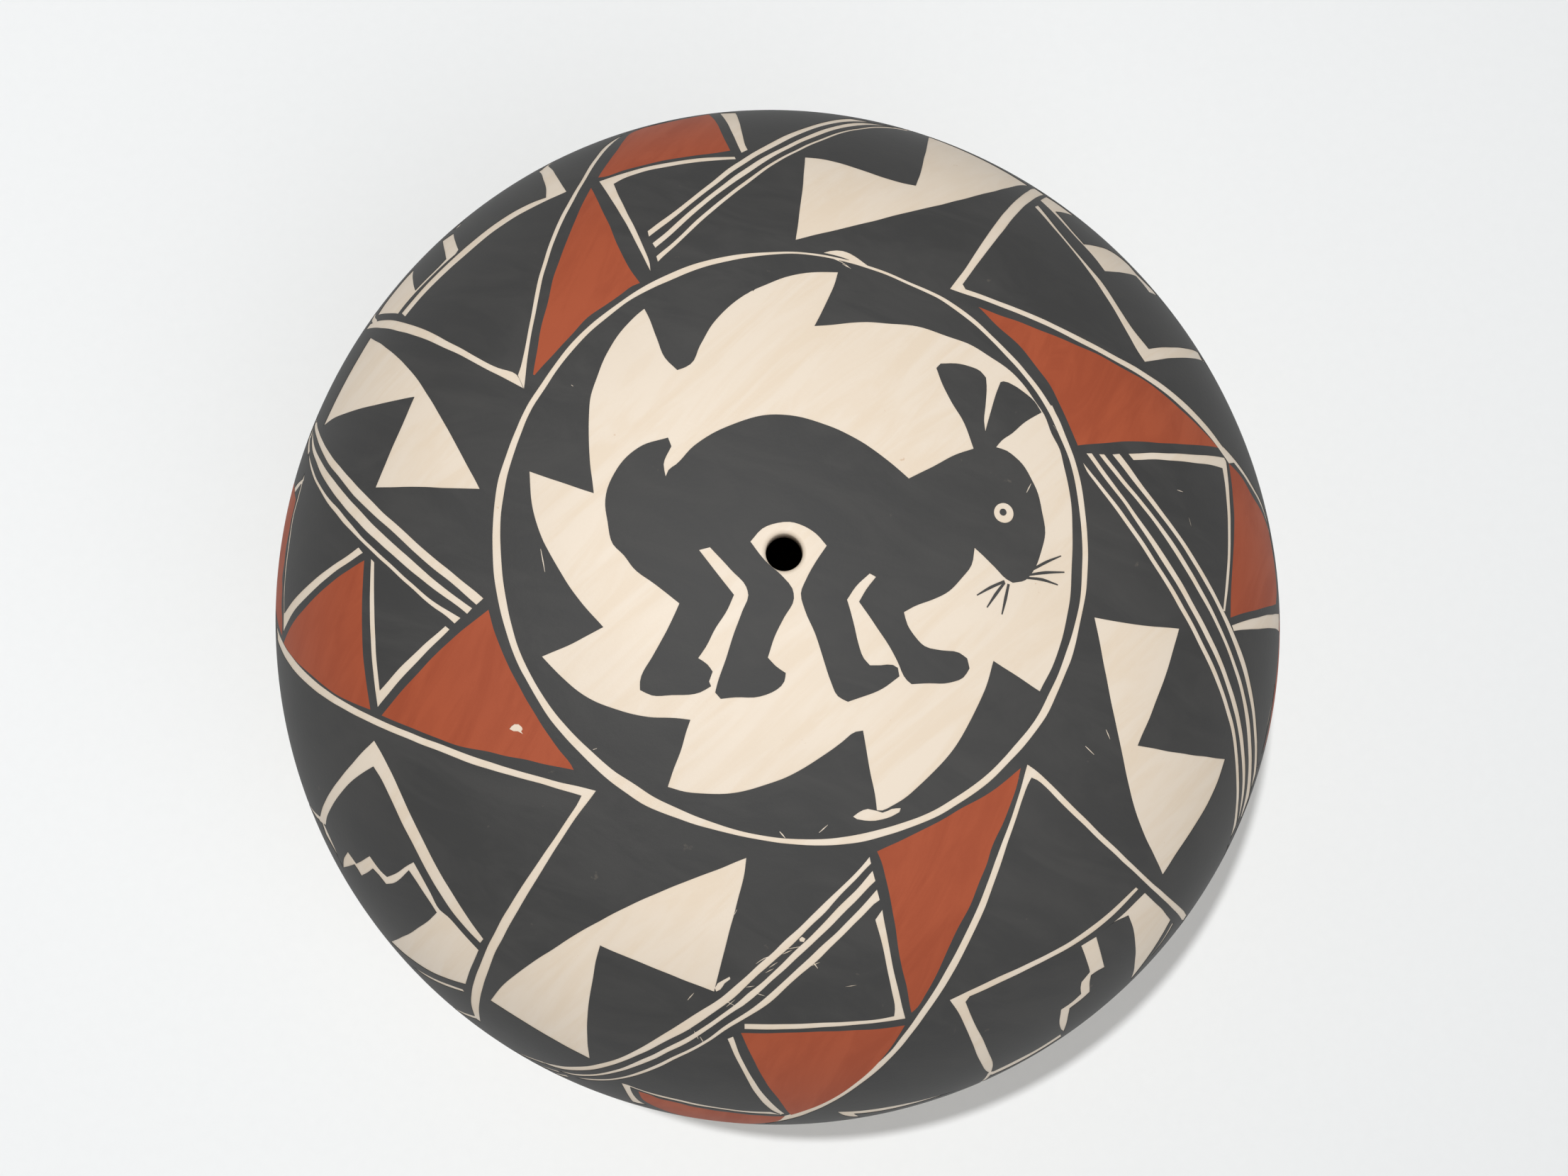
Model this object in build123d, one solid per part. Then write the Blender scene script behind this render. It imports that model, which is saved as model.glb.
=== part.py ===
from build123d import *
from math import asin, atan2, cos, pi, radians, sin, sqrt
import os

# Pueblo seed jar: a closed, coil-built globe with one small mouth in the middle of the crown.
# Millimetres. +Z is up, the origin is on the floor in the middle of the foot, and the painted
# rabbit stands upright when the jar is seen from above with +X to the right.

# Outside of the slipped jar
JAR_RADIUS = 100.0
CROWN_HEIGHT = 66.0
CROWN_DOME_HEIGHT = 6.0
UNDERSIDE_DEPTH = 58.0
UNDERSIDE_DOME_DEPTH = 12.0

# Clay, slip and paint
WALL_THICKNESS = 5.0
FLOOR_THICKNESS = 5.0
SLIP_THICKNESS = 0.4
PAINT_THICKNESS = 0.25
PAINT_BEDDING = 0.06

# Foot, cut flat across the lowest part of the underside
FOOT_CUT_DEPTH = 4.0
FOOT_RING_WIDTH = 13.0
PUSH_UP_HEIGHT = 3.0

# Mouth
MOUTH_RADIUS = 3.0
MOUTH_LIP_RADIUS = 0.6
MOUTH_SLIP_MARGIN = 0.3
MOUTH_COIL_REACH = 15.0

# Coils, with the base's flare beyond the foot and the slip's stop above the base's seam
WALL_COIL_COUNT = 13
BASE_FLARE = 20.0
SLIP_STOP_LENGTH = 4.0

# Paint, as lengths along the outside
RING_LINE_START = 50.3
RING_LINE_WIDTH = 1.6
BAND_BELOW_EQUATOR = 6.0

# The band's pattern comes four times round. Each point is an angle in degrees, counted from the
# middle of the pattern's sector, and a share of the way from the ring line to the equator.
BAND_REPEATS = 4
SECTOR_CENTRE_DEGREES = 100.0
ORANGE_INNER_SHARES = [(8, 0.044), (39, 0.041), (25, 0.138), (10, 0.366)]
ORANGE_OUTER_SHARES = [(-12, 0.35), (8.5, 0.382), (1, 0.642), (-4, 0.87)]
ORANGE_INNER_WINDOW_SHARES = [(5, 0.025), (43, 0.021), (25.5, 0.171), (9.5, 0.415)]
ORANGE_OUTER_WINDOW_SHARES = [(-15, 0.325), (10.5, 0.358), (3, 0.642), (-4, 0.919)]
BOLT_WINDOW_SHARES = [
    (-18, 0.057), (-19, 0.285), (-33, 0.268), (-31, 0.61), (-42, 0.594), (-39, 0.35), (-30, 0.138),
]

# The medallion's outline: seven curved teeth, each a point of an angle in degrees from +X and a
# share of the way from the pole to the ring line.
MEDALLION_SHARES = [
    (79, 0.97), (82, 0.8), (68, 0.87), (52, 0.94), (33, 0.985), (19, 0.98), (3, 0.98), (346, 0.975),
    (332, 0.95), (333, 0.78), (319, 0.83), (303, 0.9), (290, 0.9), (294, 0.64), (273, 0.72),
    (258, 0.8), (244, 0.86), (241, 0.63), (223, 0.75), (203, 0.88), (202, 0.65), (184, 0.76),
    (161, 0.92), (162, 0.68), (142, 0.84), (119, 0.96), (120, 0.73), (105, 0.88), (90, 0.96),
]

# The rabbit's outline, seen from above, as shares of its size along X and Y. Its size is a share
# of the ring line's reach.
RABBIT_SIZE_SHARE = 1.87
RABBIT_SHARES = [
    (-0.198, 0.13), (-0.151, 0.18), (-0.09, 0.22), (-0.031, 0.231), (0.03, 0.229), (0.075, 0.216),
    (0.13, 0.19), (0.183, 0.154), (0.211, 0.13), (0.267, 0.16), (0.323, 0.187), (0.287, 0.27),
    (0.262, 0.33), (0.3, 0.337), (0.34, 0.329), (0.346, 0.218), (0.376, 0.3), (0.395, 0.28),
    (0.43, 0.25), (0.364, 0.192), (0.409, 0.162), (0.436, 0.11), (0.444, 0.043), (0.43, -0.01),
    (0.407, -0.038), (0.374, -0.038), (0.321, 0.013), (0.31, -0.025), (0.274, -0.061),
    (0.197, -0.097), (0.232, -0.154), (0.288, -0.162), (0.305, -0.188), (0.271, -0.211),
    (0.208, -0.215), (0.165, -0.15), (0.123, -0.082), (0.152, -0.041), (0.104, -0.078),
    (0.13, -0.174), (0.188, -0.202), (0.103, -0.244), (0.066, -0.18), (0.029, -0.069),
    (0.072, 0.011), (0.045, 0.042), (0.008, 0.049), (-0.03, 0.04), (-0.055, 0.017), (0.016, -0.076),
    (-0.027, -0.173), (0.002, -0.197), (-0.039, -0.237), (-0.112, -0.229), (-0.09, -0.15),
    (-0.058, -0.072), (-0.122, 0.008), (-0.142, 0.004), (-0.081, -0.07), (-0.14, -0.174),
    (-0.117, -0.196), (-0.137, -0.229), (-0.236, -0.225), (-0.205, -0.15), (-0.174, -0.084),
    (-0.23, -0.045), (-0.286, 0.015), (-0.3, 0.07), (-0.294, 0.121), (-0.27, 0.16), (-0.237, 0.185),
    (-0.193, 0.196),
]

# The meridian is four tangent arcs: crown, shoulder, belly and underside.
EQUATOR_HEIGHT = UNDERSIDE_DEPTH - FOOT_CUT_DEPTH
SHOULDER_RADIUS = CROWN_HEIGHT - CROWN_DOME_HEIGHT
BELLY_RADIUS = UNDERSIDE_DEPTH - UNDERSIDE_DOME_DEPTH
CROWN_HALF_ANGLE = 2 * atan2(CROWN_DOME_HEIGHT, JAR_RADIUS - SHOULDER_RADIUS)
CROWN_RADIUS = SHOULDER_RADIUS + (JAR_RADIUS - SHOULDER_RADIUS) / sin(CROWN_HALF_ANGLE)
UNDER_HALF_ANGLE = 2 * atan2(UNDERSIDE_DOME_DEPTH, JAR_RADIUS - BELLY_RADIUS)
UNDER_RADIUS = BELLY_RADIUS + (JAR_RADIUS - BELLY_RADIUS) / sin(UNDER_HALF_ANGLE)
CROWN_CENTRE_HEIGHT = EQUATOR_HEIGHT + CROWN_HEIGHT - CROWN_RADIUS
UNDER_CENTRE_HEIGHT = UNDER_RADIUS - FOOT_CUT_DEPTH

# Where the arcs end, as lengths along the outside from the pole of the crown
CROWN_END = CROWN_RADIUS * CROWN_HALF_ANGLE
EQUATOR_REACH = CROWN_END + SHOULDER_RADIUS * (pi / 2 - CROWN_HALF_ANGLE)
BELLY_END = EQUATOR_REACH + BELLY_RADIUS * (pi / 2 - UNDER_HALF_ANGLE)
BAND_START = RING_LINE_START + RING_LINE_WIDTH
BAND_WIDTH = EQUATOR_REACH - BAND_START

# Depths below the slipped surface
CLAY_DEPTH = SLIP_THICKNESS
INSIDE_DEPTH = SLIP_THICKNESS + WALL_THICKNESS

# Cutters reach from deep inside the jar to well outside it.
CUTTER_NEAR_SHARE = 0.3
CUTTER_FAR_SHARE = 1.6
CUTTER_CENTRE_HEIGHT = EQUATOR_HEIGHT


def wall_point(reach, depth):
    """The point at a reach from the pole along the outside, and a depth under it, as (X, Z)."""
    if reach <= CROWN_END:
        angle = reach / CROWN_RADIUS
        centre_x = 0
        centre_z = CROWN_CENTRE_HEIGHT
        radius = CROWN_RADIUS
    elif reach <= EQUATOR_REACH:
        angle = pi / 2 - (EQUATOR_REACH - reach) / SHOULDER_RADIUS
        centre_x = JAR_RADIUS - SHOULDER_RADIUS
        centre_z = EQUATOR_HEIGHT
        radius = SHOULDER_RADIUS
    elif reach <= BELLY_END:
        angle = pi / 2 + (reach - EQUATOR_REACH) / BELLY_RADIUS
        centre_x = JAR_RADIUS - BELLY_RADIUS
        centre_z = EQUATOR_HEIGHT
        radius = BELLY_RADIUS
    else:
        angle = pi - UNDER_HALF_ANGLE + (reach - BELLY_END) / UNDER_RADIUS
        centre_x = 0
        centre_z = UNDER_CENTRE_HEIGHT
        radius = UNDER_RADIUS
    out = radius - depth
    return (centre_x + out * sin(angle), centre_z + out * cos(angle))


def on_section(point):
    """A point of the section plane, which is the XZ plane."""
    return Vector(point[0], 0, point[1])


def wall_edges(start, end, depth):
    """The arcs of the wall from one reach to a longer one, at a depth."""
    joints = [reach for reach in (CROWN_END, EQUATOR_REACH, BELLY_END) if start < reach < end]
    stops = [start] + joints + [end]
    edges = []
    for near, far in zip(stops, stops[1:]):
        middle = (near + far) / 2
        points = [on_section(wall_point(reach, depth)) for reach in (near, middle, far)]
        edges.append(ThreePointArc(*points))
    return edges


def turned(edges):
    """A closed section turned round the jar's axis."""
    return revolve(Face(Wire(edges)), axis=Axis.Z)


def ring(start, end, outer_depth, inner_depth):
    """A ring of the wall between two reaches and two depths."""
    edges = wall_edges(start, end, outer_depth)
    edges += wall_edges(start, end, inner_depth)
    for reach in (start, end):
        outer = on_section(wall_point(reach, outer_depth))
        inner = on_section(wall_point(reach, inner_depth))
        edges.append(Line(outer, inner))
    return turned(edges)


def reach_at_radius(radius):
    """The reach of a point on the crown's outside at a radius from the axis."""
    return CROWN_RADIUS * atan2(radius, sqrt(CROWN_RADIUS**2 - radius**2))


def underside_x(depth, height):
    """Where the underside, at a depth, passes a height above the floor."""
    return sqrt((UNDER_RADIUS - depth) ** 2 - (UNDER_CENTRE_HEIGHT - height) ** 2)


def base_seam():
    """The reach of the seam between the base and the first coil."""
    radius = underside_x(CLAY_DEPTH, 0) + BASE_FLARE
    angle = atan2(radius, sqrt(UNDER_RADIUS**2 - radius**2))
    return BELLY_END + UNDER_RADIUS * (UNDER_HALF_ANGLE - angle)


def base_pat():
    """The moulded base: floor, foot ring and the start of the underside."""
    foot_radius = underside_x(CLAY_DEPTH, 0)
    push_up_radius = foot_radius - FOOT_RING_WIDTH
    push_up_curve = (push_up_radius**2 + PUSH_UP_HEIGHT**2) / (2 * PUSH_UP_HEIGHT)
    half_way = push_up_radius / 2
    half_height = PUSH_UP_HEIGHT - push_up_curve + sqrt(push_up_curve**2 - half_way**2)
    floor_height = PUSH_UP_HEIGHT + FLOOR_THICKNESS
    floor_radius = underside_x(INSIDE_DEPTH, floor_height)

    def underside_arc(depth, height):
        seam = wall_point(base_seam(), depth)
        end = (underside_x(depth, height), height)
        middle_height = (seam[1] + end[1]) / 2
        middle = (underside_x(depth, middle_height), middle_height)
        return ThreePointArc(on_section(seam), on_section(middle), on_section(end))

    seam_outer = on_section(wall_point(base_seam(), CLAY_DEPTH))
    seam_inner = on_section(wall_point(base_seam(), INSIDE_DEPTH))
    push_up_edge = on_section((push_up_radius, 0))
    push_up_top = on_section((0, PUSH_UP_HEIGHT))
    return turned([
        underside_arc(CLAY_DEPTH, 0),
        Line(on_section((foot_radius, 0)), push_up_edge),
        ThreePointArc(push_up_edge, on_section((half_way, half_height)), push_up_top),
        Line(push_up_top, on_section((0, floor_height))),
        Line(on_section((0, floor_height)), on_section((floor_radius, floor_height))),
        underside_arc(INSIDE_DEPTH, floor_height),
        Line(seam_inner, seam_outer),
    ])


def wall_coil(number):
    """One ring of clay of the wall. Number 1 sits on the base."""
    coil_reach = (base_seam() - MOUTH_COIL_REACH) / WALL_COIL_COUNT
    end = base_seam() - (number - 1) * coil_reach
    return ring(end - coil_reach, end, CLAY_DEPTH, INSIDE_DEPTH)


def mouth_coil():
    """The last ring of clay, with the mouth through it and a rounded lip."""
    lip_reach = reach_at_radius(MOUTH_RADIUS + MOUTH_LIP_RADIUS)
    lip_x, lip_z = wall_point(lip_reach, CLAY_DEPTH)
    bore_reach = CROWN_RADIUS * asin(MOUTH_RADIUS / (CROWN_RADIUS - INSIDE_DEPTH))
    lip_top = on_section((lip_x, lip_z))
    lip_middle = on_section((
        lip_x - (lip_x - MOUTH_RADIUS) * cos(pi / 4),
        lip_z - MOUTH_LIP_RADIUS + MOUTH_LIP_RADIUS * sin(pi / 4),
    ))
    bore_top = on_section((MOUTH_RADIUS, lip_z - MOUTH_LIP_RADIUS))
    bore_foot = on_section(wall_point(bore_reach, INSIDE_DEPTH))
    seam_outer = on_section(wall_point(MOUTH_COIL_REACH, CLAY_DEPTH))
    seam_inner = on_section(wall_point(MOUTH_COIL_REACH, INSIDE_DEPTH))
    edges = wall_edges(lip_reach, MOUTH_COIL_REACH, CLAY_DEPTH)
    edges.append(Line(seam_outer, seam_inner))
    edges += wall_edges(bore_reach, MOUTH_COIL_REACH, INSIDE_DEPTH)
    edges.append(Line(bore_foot, bore_top))
    edges.append(ThreePointArc(bore_top, lip_middle, lip_top))
    return turned(edges)


def white_slip():
    """The slip skin, from just outside the lip to low on the underside."""
    start = reach_at_radius(MOUTH_RADIUS + MOUTH_LIP_RADIUS + MOUTH_SLIP_MARGIN)
    return ring(start, base_seam() - SLIP_STOP_LENGTH, 0, SLIP_THICKNESS)


def paint_layer(start, end):
    """A ring of paint lying on the slip."""
    return ring(start, end, -PAINT_BEDDING - PAINT_THICKNESS, -PAINT_BEDDING)


def direction(angle_degrees, reach):
    """The direction of a point of the outside, from the cutters' centre."""
    x, z = wall_point(reach, 0)
    angle = radians(angle_degrees)
    return Vector(x * cos(angle), x * sin(angle), z - CUTTER_CENTRE_HEIGHT).normalized()


def motif_cutter(points):
    """A spreading block that cuts the outline of a motif out of the paint. The points are
    angles in degrees and reaches."""
    directions = [direction(angle, reach) for angle, reach in points]
    middle = Vector(0, 0, 0)
    for each in directions:
        middle += each
    middle = middle.normalized()
    rings = []
    for share in (CUTTER_NEAR_SHARE, CUTTER_FAR_SHARE):
        distance = share * JAR_RADIUS
        corners = [each * (distance / each.dot(middle)) for each in directions]
        rings.append(Wire(Polyline(*corners, close=True)))
    return Pos(0, 0, CUTTER_CENTRE_HEIGHT) * Solid.make_loft(rings, ruled=True)


def band_motif(shares):
    """The cutters of a band motif, one in each sector."""
    cutters = []
    for repeat in range(BAND_REPEATS):
        turn = SECTOR_CENTRE_DEGREES - repeat * 360 / BAND_REPEATS
        points = [(turn + angle, BAND_START + share * BAND_WIDTH) for angle, share in shares]
        cutters.append(motif_cutter(points))
    return cutters


def painted_motif(layer, cutters):
    """The parts of a paint layer inside the cutters."""
    return Compound(children=[piece for cutter in cutters for piece in (layer & cutter).solids()])


def medallion_border():
    """The black field between the medallion's teeth and the ring line."""
    layer = paint_layer(reach_at_radius(MOUTH_RADIUS * 2), RING_LINE_START)
    points = [(angle, share * RING_LINE_START) for angle, share in MEDALLION_SHARES]
    return layer - motif_cutter(points)


def rabbit_figure():
    """The black rabbit, which leaves the mouth clear."""
    layer = paint_layer(reach_at_radius(MOUTH_RADIUS * 1.5), RING_LINE_START)
    size = RABBIT_SIZE_SHARE * RING_LINE_START
    corners = [(x * size, y * size) for x, y in RABBIT_SHARES]
    height = EQUATOR_HEIGHT + CROWN_HEIGHT + PAINT_BEDDING + PAINT_THICKNESS
    block = extrude(Face(Wire(Polyline(*corners, close=True))), height, dir=(0, 0, 1))
    return layer & block


def black_band(layer):
    """The black field of the band, with its windows."""
    for shares in (ORANGE_INNER_WINDOW_SHARES, ORANGE_OUTER_WINDOW_SHARES, BOLT_WINDOW_SHARES):
        for cutter in band_motif(shares):
            layer -= cutter
    return layer


def save(name, shape):
    """Write one node's STEP file and print its size."""
    shape.label = name
    export_step(shape, "parts/" + name + ".step")
    size = shape.bounding_box().size
    print(name, len(shape.solids()), "solids", round(size.X, 2), round(size.Y, 2), round(size.Z, 2))


def main():
    os.makedirs("parts", exist_ok=True)
    band_layer = paint_layer(BAND_START, EQUATOR_REACH + BAND_BELOW_EQUATOR)
    save("base_pat", base_pat())
    for number in range(1, WALL_COIL_COUNT + 1):
        save(f"wall_coil_{number:02d}", wall_coil(number))
    save("mouth_coil", mouth_coil())
    save("white_slip", white_slip())
    save("medallion_border", medallion_border())
    save("rabbit_figure", rabbit_figure())
    save("black_band", black_band(band_layer))
    save("orange_inner", painted_motif(band_layer, band_motif(ORANGE_INNER_SHARES)))
    save("orange_outer", painted_motif(band_layer, band_motif(ORANGE_OUTER_SHARES)))


main()
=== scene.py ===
from collections import namedtuple
from functools import cache
from math import atan2, cos, degrees, hypot, pi, radians, sin, sqrt

import bpy
import numpy as np
from bpy.props import FloatProperty, FloatVectorProperty, PointerProperty
from mathutils import Matrix, Vector, noise
from mathutils.bvhtree import BVHTree
from mathutils.geometry import delaunay_2d_cdt


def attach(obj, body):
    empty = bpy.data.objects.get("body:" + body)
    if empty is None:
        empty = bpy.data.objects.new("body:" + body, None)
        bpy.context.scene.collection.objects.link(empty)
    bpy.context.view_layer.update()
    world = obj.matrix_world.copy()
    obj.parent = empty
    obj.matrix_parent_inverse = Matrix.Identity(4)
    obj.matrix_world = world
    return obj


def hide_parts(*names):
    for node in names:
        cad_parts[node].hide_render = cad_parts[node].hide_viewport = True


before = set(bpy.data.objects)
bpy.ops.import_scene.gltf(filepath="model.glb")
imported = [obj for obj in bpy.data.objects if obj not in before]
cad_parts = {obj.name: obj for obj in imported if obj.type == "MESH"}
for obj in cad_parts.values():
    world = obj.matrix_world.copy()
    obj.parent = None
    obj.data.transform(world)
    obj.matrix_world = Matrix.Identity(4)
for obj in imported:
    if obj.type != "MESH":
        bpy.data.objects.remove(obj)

bl_info = {
    "name": "Seed jar",
    "version": (1, 0, 0),
    "blender": (4, 5, 0),
    "location": "3D View > Sidebar > Seed jar",
    "description": "A coil-built, slipped and painted seed jar on a plain floor",
    "category": "Add Mesh",
}

# Lengths are millimetres until a vertex is placed, and metres in the meshes. +Z is up. The
# painting is laid out on a chart: a point of the jar's outside is its turn round the axis and its
# reach, which is the length along the outside from the middle of the mouth.
MM = 0.001

# Outside of the slipped jar, the same form as the solids
JAR_RADIUS = 100.0
CROWN_HEIGHT = 66.0
CROWN_DOME_HEIGHT = 6.0
UNDERSIDE_DEPTH = 58.0
UNDERSIDE_DOME_DEPTH = 12.0
WALL_THICKNESS = 5.0
FLOOR_THICKNESS = 5.0
SLIP_THICKNESS = 0.4
FOOT_CUT_DEPTH = 4.0
FOOT_RING_WIDTH = 13.0
PUSH_UP_HEIGHT = 3.0
MOUTH_COIL_REACH = 15.0
WALL_COIL_COUNT = 13
BASE_FLARE = 20.0
SLIP_STOP_LENGTH = 4.0
BAND_END = 141.0

# The four tangent arcs of the wall: crown, shoulder, belly and underside
EQUATOR_HEIGHT = UNDERSIDE_DEPTH - FOOT_CUT_DEPTH
SHOULDER_RADIUS = CROWN_HEIGHT - CROWN_DOME_HEIGHT
BELLY_RADIUS = UNDERSIDE_DEPTH - UNDERSIDE_DOME_DEPTH
CROWN_HALF_ANGLE = 2 * atan2(CROWN_DOME_HEIGHT, JAR_RADIUS - SHOULDER_RADIUS)
CROWN_RADIUS = SHOULDER_RADIUS + (JAR_RADIUS - SHOULDER_RADIUS) / sin(CROWN_HALF_ANGLE)
UNDER_HALF_ANGLE = 2 * atan2(UNDERSIDE_DOME_DEPTH, JAR_RADIUS - BELLY_RADIUS)
UNDER_RADIUS = BELLY_RADIUS + (JAR_RADIUS - BELLY_RADIUS) / sin(UNDER_HALF_ANGLE)
CROWN_CENTRE_HEIGHT = EQUATOR_HEIGHT + CROWN_HEIGHT - CROWN_RADIUS
UNDER_CENTRE_HEIGHT = UNDER_RADIUS - FOOT_CUT_DEPTH
CROWN_END = CROWN_RADIUS * CROWN_HALF_ANGLE
EQUATOR_REACH = CROWN_END + SHOULDER_RADIUS * (pi / 2 - CROWN_HALF_ANGLE)
BELLY_END = EQUATOR_REACH + BELLY_RADIUS * (pi / 2 - UNDER_HALF_ANGLE)
CLAY_DEPTH = SLIP_THICKNESS
INSIDE_DEPTH = SLIP_THICKNESS + WALL_THICKNESS

# Mouth, as the slip leaves it
MOUTH_RADIUS = 3.07
MOUTH_LIP_RADIUS = 0.8
MOUTH_SLIP_THICKNESS = 0.3
MOUTH_SLIP_LENGTH = 3.2

# Shares of the solids' radius: the mean, and swings with two and three waves round the jar
ROUND_SHARE = 0.98623
TWO_WAVE_SHARES = (-0.0075, -0.0034)
THREE_WAVE_SHARES = (0.0022, -0.0036)

# The photograph's frame in pixels, and the place it was taken from
PHOTO_WIDTH = 2212
PHOTO_HEIGHT = 1659
FOCAL_PIXELS = 2396.3
SENSOR_WIDTH = 36.0
CAMERA_PLACE = (-5.274, -47.572, 391.248)
CAMERA_LEAN_X = 1.1064
CAMERA_LEAN_Y = 8.7266
CLIP_START = 10.0
CLIP_END = 20000.0

# The centre that pixels are drawn in to where the wall is seen too edge-on, and by what step
SILHOUETTE_CENTRE = (1096.0, 868.2)
GRAZING_SHARE = 0.07
DRAW_IN_STEP = 0.002

# The lamp above the jar, where the wide fill light comes from, and the sky
LAMP_PLACE = (-106.0, 52.0, 800.0)
FILL_DIRECTION = (0.45, -0.6, 0.66)
SKY_COLOUR = (0.97, 0.985, 1.0)

# The white paper under the jar
GROUND_HALF = 2000.0
PAPER_GRAIN_SHARE = 0.97
PAPER_ROUGHNESS = 0.9


def wall_point(reach, depth):
    """The point at a reach and a depth under the outside, as its radius and height."""
    if reach <= CROWN_END:
        angle = reach / CROWN_RADIUS
        centre_x, centre_z, radius = 0.0, CROWN_CENTRE_HEIGHT, CROWN_RADIUS
    elif reach <= EQUATOR_REACH:
        angle = pi / 2 - (EQUATOR_REACH - reach) / SHOULDER_RADIUS
        centre_x, centre_z, radius = JAR_RADIUS - SHOULDER_RADIUS, EQUATOR_HEIGHT, SHOULDER_RADIUS
    elif reach <= BELLY_END:
        angle = pi / 2 + (reach - EQUATOR_REACH) / BELLY_RADIUS
        centre_x, centre_z, radius = JAR_RADIUS - BELLY_RADIUS, EQUATOR_HEIGHT, BELLY_RADIUS
    else:
        angle = pi - UNDER_HALF_ANGLE + (reach - BELLY_END) / UNDER_RADIUS
        centre_x, centre_z, radius = 0.0, UNDER_CENTRE_HEIGHT, UNDER_RADIUS
    out = radius - depth
    return (centre_x + out * sin(angle), centre_z + out * cos(angle))


def wall_reach(radius, height):
    """The reach of a point of the upper wall, from its radius and height."""
    angle = atan2(radius, height - CROWN_CENTRE_HEIGHT)
    if angle <= CROWN_HALF_ANGLE:
        return CROWN_RADIUS * angle
    angle = atan2(radius - JAR_RADIUS + SHOULDER_RADIUS, height - EQUATOR_HEIGHT)
    if angle <= pi / 2:
        return CROWN_END + SHOULDER_RADIUS * (angle - CROWN_HALF_ANGLE)
    angle = atan2(radius - JAR_RADIUS + BELLY_RADIUS, height - EQUATOR_HEIGHT)
    return EQUATOR_REACH + BELLY_RADIUS * (angle - pi / 2)


def underside_x(depth, height):
    """Where the underside, at a depth, passes a height above the floor."""
    return sqrt((UNDER_RADIUS - depth) ** 2 - (UNDER_CENTRE_HEIGHT - height) ** 2)


def base_seam():
    """The reach of the seam between the base and the first coil."""
    radius = underside_x(CLAY_DEPTH, 0) + BASE_FLARE
    angle = atan2(radius, sqrt(UNDER_RADIUS**2 - radius**2))
    return BELLY_END + UNDER_RADIUS * (UNDER_HALF_ANGLE - angle)


def round_share(turn):
    """How far out the wall stands at a turn in radians, as a share of a true circle."""
    two = TWO_WAVE_SHARES[0] * cos(2 * turn) + TWO_WAVE_SHARES[1] * sin(2 * turn)
    three = THREE_WAVE_SHARES[0] * cos(3 * turn) + THREE_WAVE_SHARES[1] * sin(3 * turn)
    return ROUND_SHARE * (1 + two + three)


def at_turn(turn, radius, height):
    """A point of the jar in metres."""
    out = radius * round_share(turn) * MM
    return Vector((out * cos(turn), out * sin(turn), height * MM))


def on_wall(turn, reach, lift):
    """A point of the wall in metres, lifted off the outside."""
    radius, height = wall_point(reach, -lift)
    return at_turn(turn, radius, height)


def wall_normal(turn, reach):
    """The outward direction at a turn and a reach."""
    step = 0.2
    turn_step = 0.002
    along = on_wall(turn, reach + step, 0) - on_wall(turn, reach - step, 0)
    round_it = on_wall(turn + turn_step, reach, 0) - on_wall(turn - turn_step, reach, 0)
    return along.cross(round_it).normalized()


# A point past the edge of what the photograph shows: degrees of turn in its sector, and reach
Wall = namedtuple("Wall", "turn reach")

SECTOR_TURNS = {"A": 0.0, "B": -90.0, "C": -180.0, "D": -270.0}

# The ring line's two edges. All outlines are read from the photograph, in its pixels
RING_OUTER = [
    (897, 411), (916, 400), (936, 390), (956, 381), (978, 373), (1003, 366), (1029, 360),
    (1054, 357), (1082, 355), (1110, 355), (1138, 356), (1161, 359), (1196, 366), (1231, 376),
    (1259, 387), (1287, 400), (1310, 410), (1334, 420), (1351, 433), (1369, 446), (1387, 461),
    (1405, 479), (1420, 494), (1435, 509), (1448, 525), (1461, 540), (1471, 555), (1481, 571),
    (1490, 583), (1496, 596), (1503, 614), (1509, 629), (1517, 650), (1522, 667), (1526, 685),
    (1530, 708), (1532, 734), (1534, 759), (1535, 785), (1534, 820), (1533, 834), (1529, 857),
    (1522, 888), (1515, 920), (1510, 935), (1504, 946), (1499, 960), (1493, 974), (1487, 989),
    (1479, 1004), (1471, 1018), (1460, 1033), (1450, 1045), (1440, 1057), (1429, 1069),
    (1420, 1079), (1409, 1092), (1388, 1110), (1367, 1125), (1342, 1141), (1317, 1154),
    (1291, 1165), (1266, 1175), (1241, 1182), (1216, 1188), (1186, 1192), (1157, 1193),
    (1123, 1192), (1089, 1188), (1056, 1182), (1022, 1174), (988, 1165), (959, 1156),
    (929, 1146), (904, 1133), (883, 1118), (857, 1100), (842, 1085), (823, 1068), (806, 1050),
    (791, 1033), (777, 1016), (764, 998), (753, 978), (743, 961), (733, 943), (726, 926),
    (720, 911), (715, 895), (710, 879), (704, 856), (700, 833), (696, 808), (694, 780),
    (694, 755), (696, 728), (698, 702), (703, 677), (710, 652), (719, 627), (731, 604),
    (735, 587), (743, 573), (753, 557), (765, 539), (776, 523), (788, 507), (800, 492),
    (814, 476), (829, 462), (845, 447), (861, 435), (877, 425),
]
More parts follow.
